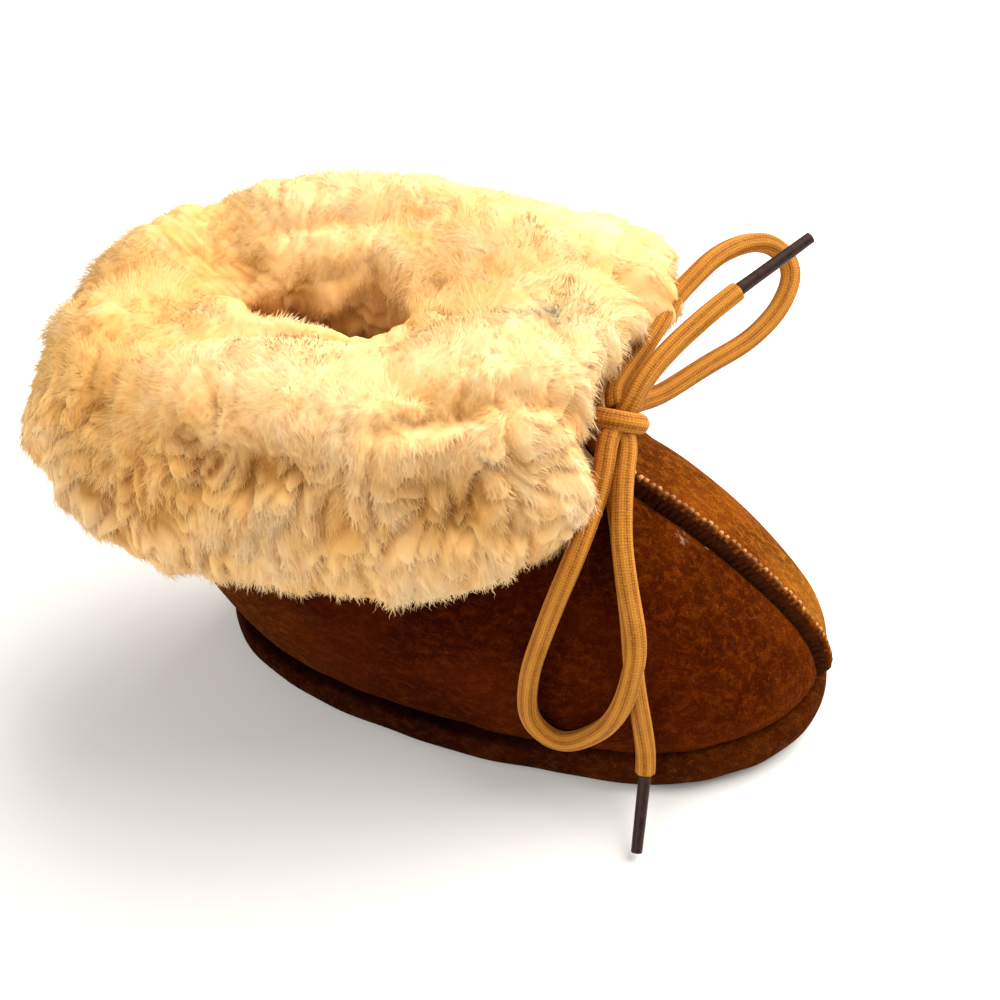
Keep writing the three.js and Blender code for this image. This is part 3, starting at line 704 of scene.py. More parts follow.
LEAST_SHARE, HEEL_POWER, TOE_POWER = 0.3, 1.5, 2


def section_at(place):
    return smooth_through(np.arange(len(CUFF_SECTION)), CUFF_SECTION, place).T


def thin_out(out, z, angle):
    """The section near the throat, where the wool draws in towards the collar's wall."""
    from_front = np.minimum(angle, FULL_TURN - angle)
    low = np.interp(from_front, CUFF_END_ANGLES, CUFF_END_SHARES)
    high = np.interp(from_front, CUFF_END_ANGLES, CUFF_TOP_SHARES)
    share = low + (high - low) * climb(z, np.where(angle > math.pi, THIN_NEAR, THIN_FAR), THIN_FADE)
    inner = np.minimum(out, -COLLAR_CLEAR) + COLLAR_CLEAR
    out = np.where(out > -COLLAR_CLEAR, out * share, inner * share - COLLAR_CLEAR)
    top = UPPER_TOP + 1
    z = np.where(z > top, top + (z - top) * high**TOP_EASE, z)
    return out, np.where(z < THIN_LOW, THIN_LOW - (THIN_LOW - z) * (0.5 + 0.5 * share), z)


def cuff_point(place, angle):
    out, z, swell = section_at(place)
    out, z = thin_out(out, z, angle)
    x, y = oval(COLLAR, angle)
    ahead_x, ahead_y = oval(COLLAR, angle + NEXT_ANGLE)
    way = unit(np.stack([ahead_y - y, x - ahead_x], -1))
    heelward = np.maximum(0, -np.cos(angle)) ** HEEL_POWER
    toeward = np.maximum(0, np.cos(angle)) ** TOE_POWER
    fuller = 1 + swell * (CUFF_HEEL_SWELL * heelward + CUFF_FRONT_SWELL * toeward)
    lift = swell * toeward * CUFF_FRONT_LIFT * np.maximum(0, (CUFF_ROLL_Z - z) / CUFF_HANG)
    drop = heelward * CUFF_HEEL_DROP * climb(out, DROP_FROM, DROP_FADE)
    x, y = x + way[..., 0] * out * fuller, y + way[..., 1] * out * fuller
    return np.stack([x, y, z + lift - drop], -1)


def off_the_upper(points):
    """Moves points that would lie in the upper out to just off it, level with where they are."""
    row = upper_row(points[:, 2])
    ahead = points[:, 0] - row["wide"]
    reach = np.where(ahead >= 0, row["toe"] - row["wide"], row["wide"] - row["heel"]) + WOOL_CLEAR
    power = np.where(ahead >= 0, row["toe_blunt"], row["heel_blunt"])
    aside = np.abs(points[:, 1]) / (row["half"] + WOOL_CLEAR)
    share = ((np.abs(ahead) / reach) ** power + aside**power) ** (1 / power)
    within = (share < 1) & (points[:, 2] < UPPER_TOP + WOOL_CLEAR)
    scale = np.where(within, 1 / np.maximum(share, LEAST_SHARE), 1)
    moved = points.copy()
    moved[:, 0] = row["wide"] + ahead * scale
    moved[:, 1] *= scale
    return moved


heel_side = cuff_point(np.array([SIDE_PLACE]), np.array([math.pi]))[0]
print("the cuff's outside at the heel is at", heel_side.round(1))

# %% [markdown]
# ## The tufts
# Wool of this kind is clipped to one length, and its tips part into tufts: narrow and hanging on
# the side, wide and soft on top, where one looks onto them. Soft swells of several sizes, with
# creases between them, make the shape, and they hang over a little. The largest hollows are listed
# one by one. Ahead of the foot's opening the wool of both sides meets and shuts the mouth.

# %% Where the pile starts
CUFF_COLUMNS, CUFF_ROWS = 176, 470
SECTION_STEPS, RING_STEPS = 800, 700
# Where the inner half of the roll starts, how soon it is full, and how much sooner that is at the toe.
INSIDE_FROM, INSIDE_FADE, INSIDE_TOE, INSIDE_REACH = 6.9, 2.1, 1.2, 12.0
PIT_HEEL, PIT_TOE, SHUT_FADE, NEAR_FADE = -46.0, -24.0, 10.0, -8.0
PIT_DRAW, NEAR_DRAW, PIT_UNEVEN, MEET, MEET_EASE = 0.5, 0.08, 0.4, 2.0, 3.0
# The level that low wool is raised to, the place where that ends, and how soon.
MOUTH_LEVEL, MOUTH_END, MOUTH_FADE = 104.5, 9.8, -1.4
RIM_LEVEL, RIM_END, RIM_FADE = 102.0, 9.4, -0.9
MOST_RAISED = 20.0


def even_places(count):
    """Places along the section that are an equal way apart."""
    fine = np.linspace(0, LAST_PLACE, SECTION_STEPS)
    out, z, _ = section_at(fine)
    run = run_along(np.hypot(np.diff(out), np.diff(z)))
    return np.interp(np.linspace(0, run[-1], count), run, fine)


def even_angles(count):
    """Angles round the ankle that are an equal way apart at the cuff's side."""
    fine = np.linspace(0, FULL_TURN, RING_STEPS)
    run = run_along(steps_of(cuff_point(np.full(RING_STEPS, SIDE_PLACE), fine)))
    return np.interp(np.linspace(0, run[-1], count, endpoint=False), run, fine)


def drawn_in(base, place):
    """The roll with its inner half drawn in: by half round the foot's opening, and shut ahead of it."""
    x, y, z = base.T
    inside = np.clip((place - INSIDE_FROM + INSIDE_TOE * climb(x, 0, INSIDE_REACH)) / INSIDE_FADE, 0, 1)
    inside = inside * inside * (3 - 2 * inside)
    shut, near = climb(x, PIT_TOE, SHUT_FADE), climb(y, 0, NEAR_FADE)
    round_pit = (PIT_DRAW + NEAR_DRAW * near) * (1 + PIT_UNEVEN * (1 - near) * lumps(base, 11, 64))
    draw = inside * (round_pit * (1 - shut) + shut)
    moved = base.copy()
    moved[:, 0] += draw * np.clip(PIT_HEEL - x, 0, None)
    moved[:, 1] -= draw * y + MEET * inside * shut * y / (np.abs(y) + MEET_EASE)
    mouth = inside * shut * climb(place, MOUTH_END, MOUTH_FADE)
    moved[:, 2] += mouth * np.clip(MOUTH_LEVEL - z, 0, MOST_RAISED)
    rim = inside * (1 - shut) * near * climb(place, RIM_END, RIM_FADE)
    moved[:, 2] += rim * np.clip(RIM_LEVEL - z, 0, MOST_RAISED)
    return moved, inside * shut


print("the pile has", CUFF_ROWS, "columns of", CUFF_COLUMNS, "points")

# %% Listed hollows and locks
# Each row: x, y, z, reach, depth and shade of a hollow, or of a fuller lock where these are negative.
HOLLOWS = np.array([
    (-58.8, 10.3, 100.6, 5, 2, 0.45), (-46, 6.8, 100.7, 5, 2.5, 0.5),
    (-39, 7.3, 101.9, 4.5, 2.5, 0.45), (-48.7, 3, 96.2, 5, 2, 0.4),
    (-32.1, 11, 103.9, 4.5, 2, 0.45), (-31.6, 8.1, 95, 5, 2, 0.4), (-25, 6.8, 94.9, 4.5, 2, 0.4),
    (-15.3, 7.7, 103.8, 3.5, 1.2, 0.3), (-1.9, -2.3, 105.7, 3, 1, 0.25),
    (-39.3, 7.5, 96.4, 4.5, -4, -0.45), (-50, -45.4, 100.1, 4.5, 3, 0.55),
    (-72.5, -37.6, 98, 4.5, 2.5, 0.45), (-71.3, -47, 83, 4, 3, 0.5),
    (-72.7, -47.5, 77.3, 4, 3, 0.45), (-77.5, -44.6, 84.1, 4, 2, 0.35),
    (-44, -39.1, 105.4, 3.5, 1.5, 0.4), (-35.8, -46.4, 95.1, 4.5, 3, 0.5),
    (-27.8, -45.3, 97.7, 3.8, 2.5, 0.45), (-44.3, -46.7, 96.7, 3.5, 2, 0.4),
    (-59.1, -50.1, 78.8, 5.5, 1.5, 0.25), (-40.1, -52.2, 78.9, 4, 1.5, 0.3),
    (8.4, -39.3, 93.2, 4, 2, 0.4), (3.9, -42, 88.2, 4, 2, 0.4), (-6.4, -46.1, 85.8, 4, 1.5, 0.3),
    (-75.7, -20.4, 102.5, 4.5, 1.5, 0.35), (-84.8, -21.3, 101.7, 4, 1.2, 0.3),
    (-64.4, -43, 96.6, 5, -2, -0.2), (-52.5, -46.2, 90.5, 5.5, -2, -0.2),
    (-39.8, -50.9, 87, 5, -2, -0.2), (30, 21.5, 92.5, 5.5, -3.6, 0),
])
MOST_SHADE = 0.6


def hollows(points):
    """How deep and how shaded the hollows are at each point."""
    deep, dark = np.zeros((2, len(points)))
    for x, y, z, reach, depth, shade in HOLLOWS:
        share = np.exp(-((points - (x, y, z)) ** 2).sum(1) / reach**2)
        deep += depth * share
        dark += shade * share
    return deep, np.minimum(dark, MOST_SHADE)


print(len(HOLLOWS), "hollows and locks are set by hand")

# %% Swells and offsets of the pile
# Along the section, from the fringe up and over into the opening: heights of the locks and tufts, how
# much painted shade their domes and creases give the wool, how far the pile stands out, how pale it
# is, and the painted shade in the opening.
PILE_PLACES = (0.0, 1.0, 2.0, 3.5, 5.0, 6.0, 7.5, 9.0, 11.0, 12.0)
LOCK_HEIGHT = (0.3, 1.3, 1.7, 1.7, 1.4, 0.4, 0.1, 0.3, 0.8, 0.2)
TUFT_HEIGHT = (0.2, 1.1, 1.7, 2.2, 2.4, 1.2, 0.6, 0.8, 1.2, 0.2)
TUFT_PAINTED_SHADE = (1.0, 1.0, 1.0, 1.0, 0.95, 0.5, 0.3, 0.5, 0.8, 1.0)
PILE_OFFSET = (1.4, 5.2, 3.4, 0.4, 0.3, 0.8, 1.0, 0.4, 0.0, 0.0)
TUFT_PALE = (0.85, 0.85, 0.68, 0.43, 0.38, 0.5, 0.6, 0.42, 0.15, 0.1)
PIT_SHADE = (1.0, 1.0, 1.0, 1.0, 1.0, 1.0, 1.0, 0.45, 0.15, 0.1)
# Each kind of swell: its size, its stretch upright, and its seed.
SWELLS = {
    "low_lock": (2.5, 0.34, 31), "lock": (2.7, 0.55, 31), "tuft": (6.0, 0.65, 32),
    "clump": (10.0, 0.7, 33), "puff": (22.0, 1.0, 34),
}
SWELL_CREASE, BEND, BEND_SIZE, BEND_SEEDS = 0.44, 1.5, 6.0, (61, 62, 63)
FAR_OFFSET, HEEL_OFFSET, FRONT_OFFSET, FAR_TOP_OFFSET, FAR_EASE = 0.5, 0.8, 11.0, 3.4, 25
# Where each of these is: a ramp has a start and a length, a hump a middle and a reach.
HEEL_X, HEEL_PLACE, FAR_PLACE = (-58, -25), (4, 1.5), (3.4, 1.4)
FAR_FRONT_HUMP, FAR_FRONT_PLACE = (0.57, 0.28), (6.4, -1.5)
FAR_TOP_HUMP, FAR_TOP_PLACE = (1.05, 0.4), (8, -1.5)


def swells(points, kind):
    """Rounded swells from 0 to 1 with soft creases between them."""
    size, upright, seed = SWELLS[kind]
    return 1 - hump(lumps(points * (1, 1, upright), size, seed), 0, SWELL_CREASE)


def pile_offset(place, angle, x, y):
    """How far the pile stands out before its tufts, and how much more at the far front."""
    heelward = climb(x, *HEEL_X) * climb(place, *HEEL_PLACE)
    offset = np.interp(place, PILE_PLACES, PILE_OFFSET)
    offset = offset + FAR_OFFSET * np.tanh(y / FAR_EASE) + HEEL_OFFSET * heelward
    far_front = hump(angle, *FAR_FRONT_HUMP) * climb(place, *FAR_FRONT_PLACE)
    far_top = hump(angle, *FAR_TOP_HUMP) * climb(place, *FAR_TOP_PLACE)
    return offset, (FRONT_OFFSET * far_front + FAR_TOP_OFFSET * far_top) * climb(place, *FAR_PLACE)


print("kinds of swell:", ", ".join(SWELLS))

# %% The surface of the pile
PUFF_HEIGHT, PUFF_MIDDLE, CLUMP_HEIGHT, CLUMP_LIFT, OUTWARD = 2.4, 0.6, 1.3, 0.5, 0.85
FINE_HEIGHT, FINE_UPRIGHT, FINE_SIZE, FINE_SEED = 0.3, 0.3, 1.1, 35
LOCK_PLACE, CLUMP_X, CLUMP_LOW, CLUMP_HIGH = (2, 2), (-30, -25), (1.5, 1), (6, -1.2)
FURROW_HUMP, FURROW_TOE, FURROW_HEEL, TOP_FURROW = (6.3, 0.22), (12.0, -8), (-22.0, 12), 1.6
OUTER_END, PLACE_EDGE, THROAT_REACH = 7.0, 0.2, 0.45
# Share, size and seed of the drift of the tone, and what makes the wool paler or darker. The
# darkening where the mouth shuts is painted shade in the valley between the two sides.
PALE_WAVES, LOCK_WAVE, LOCK_UPRIGHT = ((0.25, 24, 37), (0.14, 9, 38)), (0.25, 3.2, 39), 0.6
PUFF_PALE, THROAT_PALE, HEEL_DARK, MOUTH_PAINTED_SHADE = 0.3, 0.4, 0.35, 0.3
HEEL_TOP_X, HEEL_TOP_PLACE, MOUTH_PLACE, PIT_NEAR = (-50, -20), (5, 1), (7.5, 1.2), (-2, -6)
LOCK_DOME, TUFT_DOME, PUFF_DOME, DOME_MIDDLE, DOME_LEVEL, DOME_EASE = 0.6, 0.36, 0.2, 0.83, 0.75, 0.8
FRINGE_PLACES, FRINGE_SHADES, FURROW_SHADE, CLUMP_SHADE = (0, 1.5, 3), (0.85, 0.9, 1), 0.35, 0.3
DOWN = np.array((0.0, 0.0, -1.0))


def pile_surface():
    grids = np.meshgrid(even_places(CUFF_COLUMNS), even_angles(CUFF_ROWS))
    place, angle = (each.ravel() for each in grids)
    base, shut = drawn_in(cuff_point(place, angle), place)
    x, y, _ = base.T
    grid = base.reshape(CUFF_ROWS, CUFF_COLUMNS, 3)
    onward = np.roll(grid, -1, 0) - np.roll(grid, 1, 0)
    out = unit(np.cross(onward, np.gradient(grid, axis=1))).reshape(-1, 3)
    hang = DOWN - out * (out @ DOWN)[:, None]

    def along(values):
        return np.interp(place, PILE_PLACES, values)

    # The shape: swells of five kinds on the roll, hollows in it, and a furrow along the near top.
    bent = base + BEND * np.stack([lumps(base, BEND_SIZE, seed) for seed in BEND_SEEDS], -1)
    upper_side = climb(place, *LOCK_PLACE)
    lock = swells(bent, "low_lock") * (1 - upper_side) + swells(bent, "lock") * upper_side
    tuft, puff = swells(bent, "tuft"), swells(base, "puff")
    clumped = climb(x, *CLUMP_X) * climb(place, *CLUMP_LOW) * climb(place, *CLUMP_HIGH)
    clump = 1 + (swells(bent, "clump") - 1) * clumped
    furrow = hump(place, *FURROW_HUMP) * (y < 0)
    furrow *= climb(x, *FURROW_TOE) * climb(x, *FURROW_HEEL)
    offset, far_corner = pile_offset(place, angle, x, y)
    offset += PUFF_HEIGHT * (puff - PUFF_MIDDLE) - TOP_FURROW * furrow + far_corner
    fine = lumps(base * (1, 1, FINE_UPRIGHT), FINE_SIZE, FINE_SEED)
    relief = CLUMP_HEIGHT * (clump - 1 + CLUMP_LIFT * clumped) + along(LOCK_HEIGHT) * (lock - 0.5)
    relief = relief + along(TUFT_HEIGHT) * (tuft - 0.5) + FINE_HEIGHT * fine
    fade = np.clip(np.minimum(place - PLACE_EDGE, LAST_PLACE - PLACE_EDGE - place), 0, 1)
    raised = base + (out * offset[:, None] + (out * OUTWARD + hang) * relief[:, None]) * fade[:, None]
    deep, dark = hollows(raised)
    raised -= out * (deep * fade)[:, None]
    outer = place < OUTER_END
    raised[outer] = off_the_upper(raised[outer])

    # The colour: how pale each tuft is, and how far up its dome a point lies, which paints shade into
    # the creases, furrows, hollows and the opening.
    throat = np.clip(1 - np.minimum(angle, FULL_TURN - angle) / THROAT_REACH, 0, 1) * outer
    pale = along(TUFT_PALE)
    for share, size, seed in PALE_WAVES:
        pale += share * lumps(base, size, seed)
    pale += PUFF_PALE * (puff - PUFF_MIDDLE)
    share, size, seed = LOCK_WAVE
    heel_top = HEEL_DARK * climb(x, *HEEL_TOP_X) * climb(place, *HEEL_TOP_PLACE)
    pale += share * lumps(bent * (1, 1, LOCK_UPRIGHT), size, seed) - heel_top
    pale -= MOUTH_PAINTED_SHADE * shut * climb(place, *MOUTH_PLACE)
    pit = np.maximum(along(PIT_SHADE), np.maximum(shut, climb(y, *PIT_NEAR)))
    dome = LOCK_DOME * lock + TUFT_DOME * tuft + PUFF_DOME * puff - DOME_MIDDLE
    dome = DOME_LEVEL + dome * along(TUFT_PAINTED_SHADE)
    # A darker low fringe: painted shade.
    dome *= np.interp(place, FRINGE_PLACES, FRINGE_SHADES)
    dome = (dome - FURROW_SHADE * furrow - dark - CLUMP_SHADE * (1 - clump)) * pit
    return {
        "point": raised, "out": out, "hang": hang, "place": place, "shut": shut, "angle": angle,
        "outer": outer, "tone": np.clip(pale + THROAT_PALE * throat, 0.03, 0.97),
        "dome": np.clip(dome, 0, 1) ** DOME_EASE,
    }


pile = pile_surface()
print("the pile reaches", pile["point"][:, 2].max().round(1), "mm up")

# %% The body of the pile
COLLAR_CHANNEL = [
    (-COLLAR_CLEAR, 80), (-COLLAR_CLEAR, 87), (-COLLAR_CLEAR, 94.8), (0.7, 94.8), (0.7, 85),
]
BODY_COLUMNS = CUFF_COLUMNS + len(COLLAR_CHANNEL)
ROOT, DOME, SKIN = 0.02, 0.8, 0.05  # heights in the UV map: of a root, of a whole dome, and of the skin
MEETING_UPRIGHT = 1.5


def make_pile_body():
    angle = even_angles(CUFF_ROWS)
    channel = []
    for out, z in COLLAR_CHANNEL:
        x, y = oval(COLLAR, angle, out)
        ring = np.stack([x, y, 0 * x + z], -1)
        channel.append(off_the_upper(ring) if out > 0 else ring)
    free = pile["point"].reshape(CUFF_ROWS, CUFF_COLUMNS, 3)
    points = np.concatenate([free, np.stack(channel, 1)], 1).reshape(-1, 3)
    uv = np.full((CUFF_ROWS, BODY_COLUMNS, 2), SKIN)
    uv[:, :CUFF_COLUMNS, 0] = pile["tone"].reshape(CUFF_ROWS, CUFF_COLUMNS)
    uv[:, :CUFF_COLUMNS, 1] = ROOT + DOME * pile["dome"].reshape(CUFF_ROWS, CUFF_COLUMNS)
    quads = loft_quads(CUFF_ROWS, BODY_COLUMNS, wrap_rows=True)[:, ::-1]
    return make_piece("fleece_body", points, quads, (), ("cuff",), uv.reshape(-1, 2))


def body_normals():
    normal = np.empty(3 * CUFF_ROWS * BODY_COLUMNS, np.float32)
    fleece_body.data.vertex_normals.foreach_get("vector", normal)
    return normal.reshape(CUFF_ROWS, BODY_COLUMNS, 3)


fleece_body = make_pile_body()
# Where the two sides meet, the body shades as if it were one level surface.
shading = body_normals()
shading[:, :CUFF_COLUMNS, 2] += MEETING_UPRIGHT * pile["shut"].reshape(CUFF_ROWS, CUFF_COLUMNS)
fleece_body.data.normals_split_custom_set_from_vertices(unit(shading).reshape(-1, 3))

# %% [markdown]
# ## The fibres
# The ribbons stand on the body where its tufts are, and lean as the tufts lean. They carry the
# body's own normals, so that they shade with it as soft wool and not as straw. The UV map of both
# layers holds the tuft's tone and the place from root to tip, which is all that the colour needs.

# %% Where the ribbons stand
RIBBONS = 114000
RIBBON_PLACES = (0.0, 0.5, 1.0, 2.0, 4.5, 6.0, 9.0, 10.5, 12.0)
RIBBON_SHARES = (0.0, 0.3, 1.1, 1.4, 1.4, 1.0, 0.9, 0.4, 0.0)
UNDER_SHUT, UNDER_PLACE, UNDER_MIDDLE = 0.3, 8.7, 0.2


def ring_grid(values):
    """Vectors on the grid of the pile, with its first row again after the last."""
    grid = values.reshape(CUFF_ROWS, CUFF_COLUMNS, 3)
    return np.concatenate([grid, grid[:1]])


def spread_over(count, rng):
    """Points spread evenly over the body's outside, with what the body has there."""
    point = ring_grid(pile["point"])
    normal = ring_grid(body_normals()[:, :CUFF_COLUMNS])
    across = np.cross(point[1:, 1:] - point[:-1, :-1], point[1:, :-1] - point[:-1, 1:])
    area = np.linalg.norm(across, axis=-1)
    side = np.where(pile["angle"] < math.pi, 1, -1)
    under = (pile["place"] > UNDER_PLACE) | (pile["point"][:, 1] * side < UNDER_MIDDLE)
    under &= pile["shut"] > UNDER_SHUT
    seen = np.interp(pile["place"], RIBBON_PLACES, RIBBON_SHARES) * ~under
    area = (area * seen.reshape(CUFF_ROWS, CUFF_COLUMNS)[:, :-1]).ravel()
    total = np.cumsum(area)
    cell = np.searchsorted(total, (np.arange(count) + rng.uniform(0, 1, count)) / count * total[-1])
    i, j = np.divmod(np.minimum(cell, len(area) - 1), CUFF_COLUMNS - 1)
    a, b = rng.uniform(0, 1, (2, count, 1))

    def mixed(grid):
        low = grid[i, j] * (1 - b) + grid[i, j + 1] * b
        return low * (1 - a) + (grid[i + 1, j] * (1 - b) + grid[i + 1, j + 1] * b) * a

    at = {key: value[i * CUFF_COLUMNS + j] for key, value in pile.items()}
    at["point"] = mixed(point)
    at["normal"] = unit(mixed(normal) + at["shut"][:, None] * (0, 0, MEETING_UPRIGHT))
    return at


ribbons_at = spread_over(RIBBONS, np.random.default_rng(40))
print("there are", RIBBONS, "ribbons, up to", ribbons_at["point"][:, 2].max().round(1), "mm up")

# %% Ribbons of wool
RIBBON_WIDTH, RIBBON_SINK, RIBBON_CORNERS, TIP_PALER = 0.15, 0.3, 7, 0.28
RIBBON_STEPS = np.array((0.0, 0.4, 0.75, 1.0))
RIBBON_TAPER = np.array((1.0, 0.85, 0.5))
RIBBON_LENGTHS = (1.4, 2.2, 3.4, 3.9, 3.8, 3.6, 3.6, 3.2, 2.6, 2.4)
CRIMP, CRIMP_LENGTH, NEAR_RIM_SHORTER = 0.45, 3.0, 0.22
FLEECE_PIECES = ("fleece_far_front", "fleece_far_heel", "fleece_near_heel", "fleece_near_front")
# How ribbons differ in lean, length, twist, width and tone.
LEAN_SPREAD, LENGTHS, TWISTS, WIDTHS, TONE_SPREAD = 0.16, (0.5, 1.1), (-0.8, 0.8), (0.7, 1.25), 0.12
# Share, size and first seed of the drift of the lean, and how much of it the side and the top take.
LEAN_WAVES, SIDE_DRIFT, TOP_DRIFT = ((0.55, 12, 41), (0.3, 4.5, 44)), 0.35, 0.65
LEAN_PLACE, NEAR_RIM_PLACE = (4.5, 1.5), (6.6, 0.8)
# From root to tip a ribbon stands less and leans more. In creases it is short, at the mouth long.
STAND, STAND_LESS, LEAN, LEAN_MORE, SHUT_LEAN_LESS = 0.5, 0.22, 0.6, 0.6, 0.8
CREASE_LENGTH, DOME_LENGTH, SHUT_LONGER = 0.35, 0.85, 0.5
FACE_SHADING, WAY_SHADING = 0.35, 0.15


def ribbon_lines(at, rng):
    count = len(at["place"])
    around = np.cross(DOWN, at["out"])
    lean = at["hang"] * (1 - SHUT_LEAN_LESS * at["shut"])[:, None]
    for k in range(3):
        drift = sum(share * lumps(at["point"], size, seed + k) for share, size, seed in LEAN_WAVES)
        lean[:, k] += drift * (SIDE_DRIFT + TOP_DRIFT * climb(at["place"], *LEAN_PLACE))
    lean += rng.normal(0, LEAN_SPREAD, (count, 3))
    length = np.interp(at["place"], PILE_PLACES, RIBBON_LENGTHS) * rng.uniform(*LENGTHS, count)
    length *= (CREASE_LENGTH + DOME_LENGTH * at["dome"]) * (1 + SHUT_LONGER * at["shut"])
    near_rim = climb(at["place"], *NEAR_RIM_PLACE) * (at["angle"] > math.pi)
    length *= 1 - NEAR_RIM_SHORTER * near_rim * (1 - at["shut"])
    line = np.empty((count, len(RIBBON_STEPS), 3))
    line[:, 0] = at["point"] - at["normal"] * RIBBON_SINK
    for i, step in enumerate(np.diff(RIBBON_STEPS), 1):
        t = RIBBON_STEPS[i] - step / 2
        way = unit(at["normal"] * (STAND - STAND_LESS * t) + lean * (LEAN + LEAN_MORE * t))
        line[:, i] = line[:, i - 1] + way * (length * step)[:, None]
    phase = rng.uniform(0, FULL_TURN, count)[:, None]
    wave = np.sin(FULL_TURN * length[:, None] * RIBBON_STEPS / CRIMP_LENGTH + phase)
    line += around[:, None, :] * (CRIMP * wave * RIBBON_STEPS)[..., None]
    outer = np.repeat(at["outer"], len(RIBBON_STEPS))
    flat = line.reshape(-1, 3)
    flat[outer] = off_the_upper(flat[outer])
    return flat.reshape(line.shape)


def wool(name, at, seed):
    """A mesh of ribbons: two quads and a triangle each."""
    rng = np.random.default_rng(seed)
    line = ribbon_lines(at, rng)
    count = len(line)
    way, normal = unit(np.gradient(line, axis=1)), at["normal"][:, None, :]
    face = normal + np.cross(way, normal) * rng.uniform(*TWISTS, (count, 1, 1))
    half = RIBBON_WIDTH / 2 * rng.uniform(*WIDTHS, count)[:, None] * RIBBON_TAPER
    aside = unit(np.cross(way, face))[:, :3] * half[..., None]
    sides = np.stack([line[:, :3] - aside, line[:, :3] + aside], 2).reshape(count, 6, 3)
    points = np.concatenate([sides, line[:, 3:]], 1)
    start = np.arange(count)[:, None] * RIBBON_CORNERS
    quads = np.concatenate([start + (0, 1, 3, 2), start + (2, 3, 5, 4)])
    tone = np.clip(at["tone"] + rng.normal(0, TONE_SPREAD, count), 0.01, 0.99)
    paler = TIP_PALER * np.repeat(RIBBON_STEPS, 2)[:RIBBON_CORNERS]
    along = np.minimum(ROOT + DOME * at["dome"][:, None] + paler, 0.98)
    uv = np.stack([np.repeat(tone, RIBBON_CORNERS), along.ravel()], -1)
    piece = make_piece(name, points.reshape(-1, 3), quads, start + (4, 5, 6), ("cuff",), uv)
    soft = unit(normal + unit(face) * FACE_SHADING + way * WAY_SHADING)
    piece.data.normals_split_custom_set_from_vertices(soft[:, (0, 0, 1, 1, 2, 2, 3)].reshape(-1, 3))
    return piece


def make_wool():
    made, each = [], RIBBONS // len(FLEECE_PIECES)
    for index, name in enumerate(FLEECE_PIECES):
        share = slice(index * each, (index + 1) * each)
        made.append(wool(name, {key: value[share] for key, value in ribbons_at.items()}, 50 + index))
    return made


fleece = make_wool()

# %% [markdown]
# ## Materials
# Suede is leather with its fibres brushed up: it has no gloss, its colour drifts where the nap
# lies one way or the other, and at a glance it is velvety. The drift, the brush marks and the
# fibres are one node group, because the upper, the band and the sole share them, each with its
# own colours.

# %% Node helpers


def add_node(tree, kind, **settings):
    node = tree.nodes.new("ShaderNode" + kind)
    for key, value in settings.items():
        setattr(node, key, value)
    return node


def plug(tree, source, node, socket):
    """Links an output to an input, or sets the input to a plain value."""
    if hasattr(source, "is_linked"):
        tree.links.new(source, node.inputs[socket])
    else:
        node.inputs[socket].default_value = source


def object_place(tree):
    return add_node(tree, "TexCoord").outputs["Object"]


def map_place(tree):
    """The two coordinates of a piece's own UV map."""
    where = add_node(tree, "SeparateXYZ")
    plug(tree, add_node(tree, "UVMap", uv_map=UV_MAP).outputs[0], where, 0)
    return where.outputs["X"], where.outputs["Y"]


def noise(tree, coordinates, scale, detail=2.0, roughness=0.5, distortion=0.0):
    node = add_node(tree, "TexNoise")
    sockets = ("Vector", "Scale", "Detail", "Roughness", "Distortion")
    for socket, value in zip(sockets, (coordinates, scale, detail, roughness, distortion)):
        plug(tree, value, node, socket)
    return node.outputs["Fac"]


def math_node(tree, operation, first, second=0.0):
    node = add_node(tree, "Math", operation=operation)
    plug(tree, first, node, 0)
    plug(tree, second, node, 1)
    return node.outputs[0]


def times(tree, first, second):
    return math_node(tree, "MULTIPLY", first, second)


def vector_node(tree, operation, first, second):
    """Vector maths on two vectors, or on a vector and the factor that scales it."""
    node = add_node(tree, "VectorMath", operation=operation)
    plug(tree, first, node, 0)
    plug(tree, second, node, "Scale" if operation == "SCALE" else 1)
    return node.outputs["Value" if operation in ("DOT_PRODUCT", "DISTANCE") else "Vector"]


def span(tree, value, low, high, to_low=0.0, to_high=1.0):
    node = add_node(tree, "MapRange", interpolation_type="SMOOTHSTEP")
    sockets = ("Value", "From Min", "From Max", "To Min", "To Max")
    for socket, setting in zip(sockets, (value, low, high, to_low, to_high)):
        plug(tree, setting, node, socket)
    return node.outputs["Result"]


def blend(tree, share, first, second, mode="MIX"):
    node = add_node(tree, "Mix", data_type="RGBA", blend_type=mode)
    plug(tree, share, node, 0)
    plug(tree, first, node, 6)
    plug(tree, second, node, 7)
    return node.outputs[2]


def new_group(name, inputs, outputs):
    group = bpy.data.node_groups.new(name, "ShaderNodeTree")
    for in_out, sockets in (("INPUT", inputs), ("OUTPUT", outputs)):
        for label, kind in sockets:
            group.interface.new_socket(label, in_out=in_out, socket_type="NodeSocket" + kind)
    entry = group.nodes.new("NodeGroupInput")
    leave = group.nodes.new("NodeGroupOutput")
    return group, entry.outputs, leave


def new_material(name, **constants):
    material = bpy.data.materials.new(name)
    material.use_nodes = True
    shader = material.node_tree.nodes["Principled BSDF"]
    for socket, value in constants.items():
        shader.inputs[socket.replace("_", " ")].default_value = value
    return material, material.node_tree, shader


def add_bump(tree, shader, height, strength, distance):
    bump = add_node(tree, "Bump")
    for socket, value in (("Strength", strength), ("Distance", distance), ("Height", height)):
        plug(tree, value, bump, socket)
    plug(tree, bump.outputs["Normal"], shader, "Normal")


print("node helpers are ready")

# %% Suede group


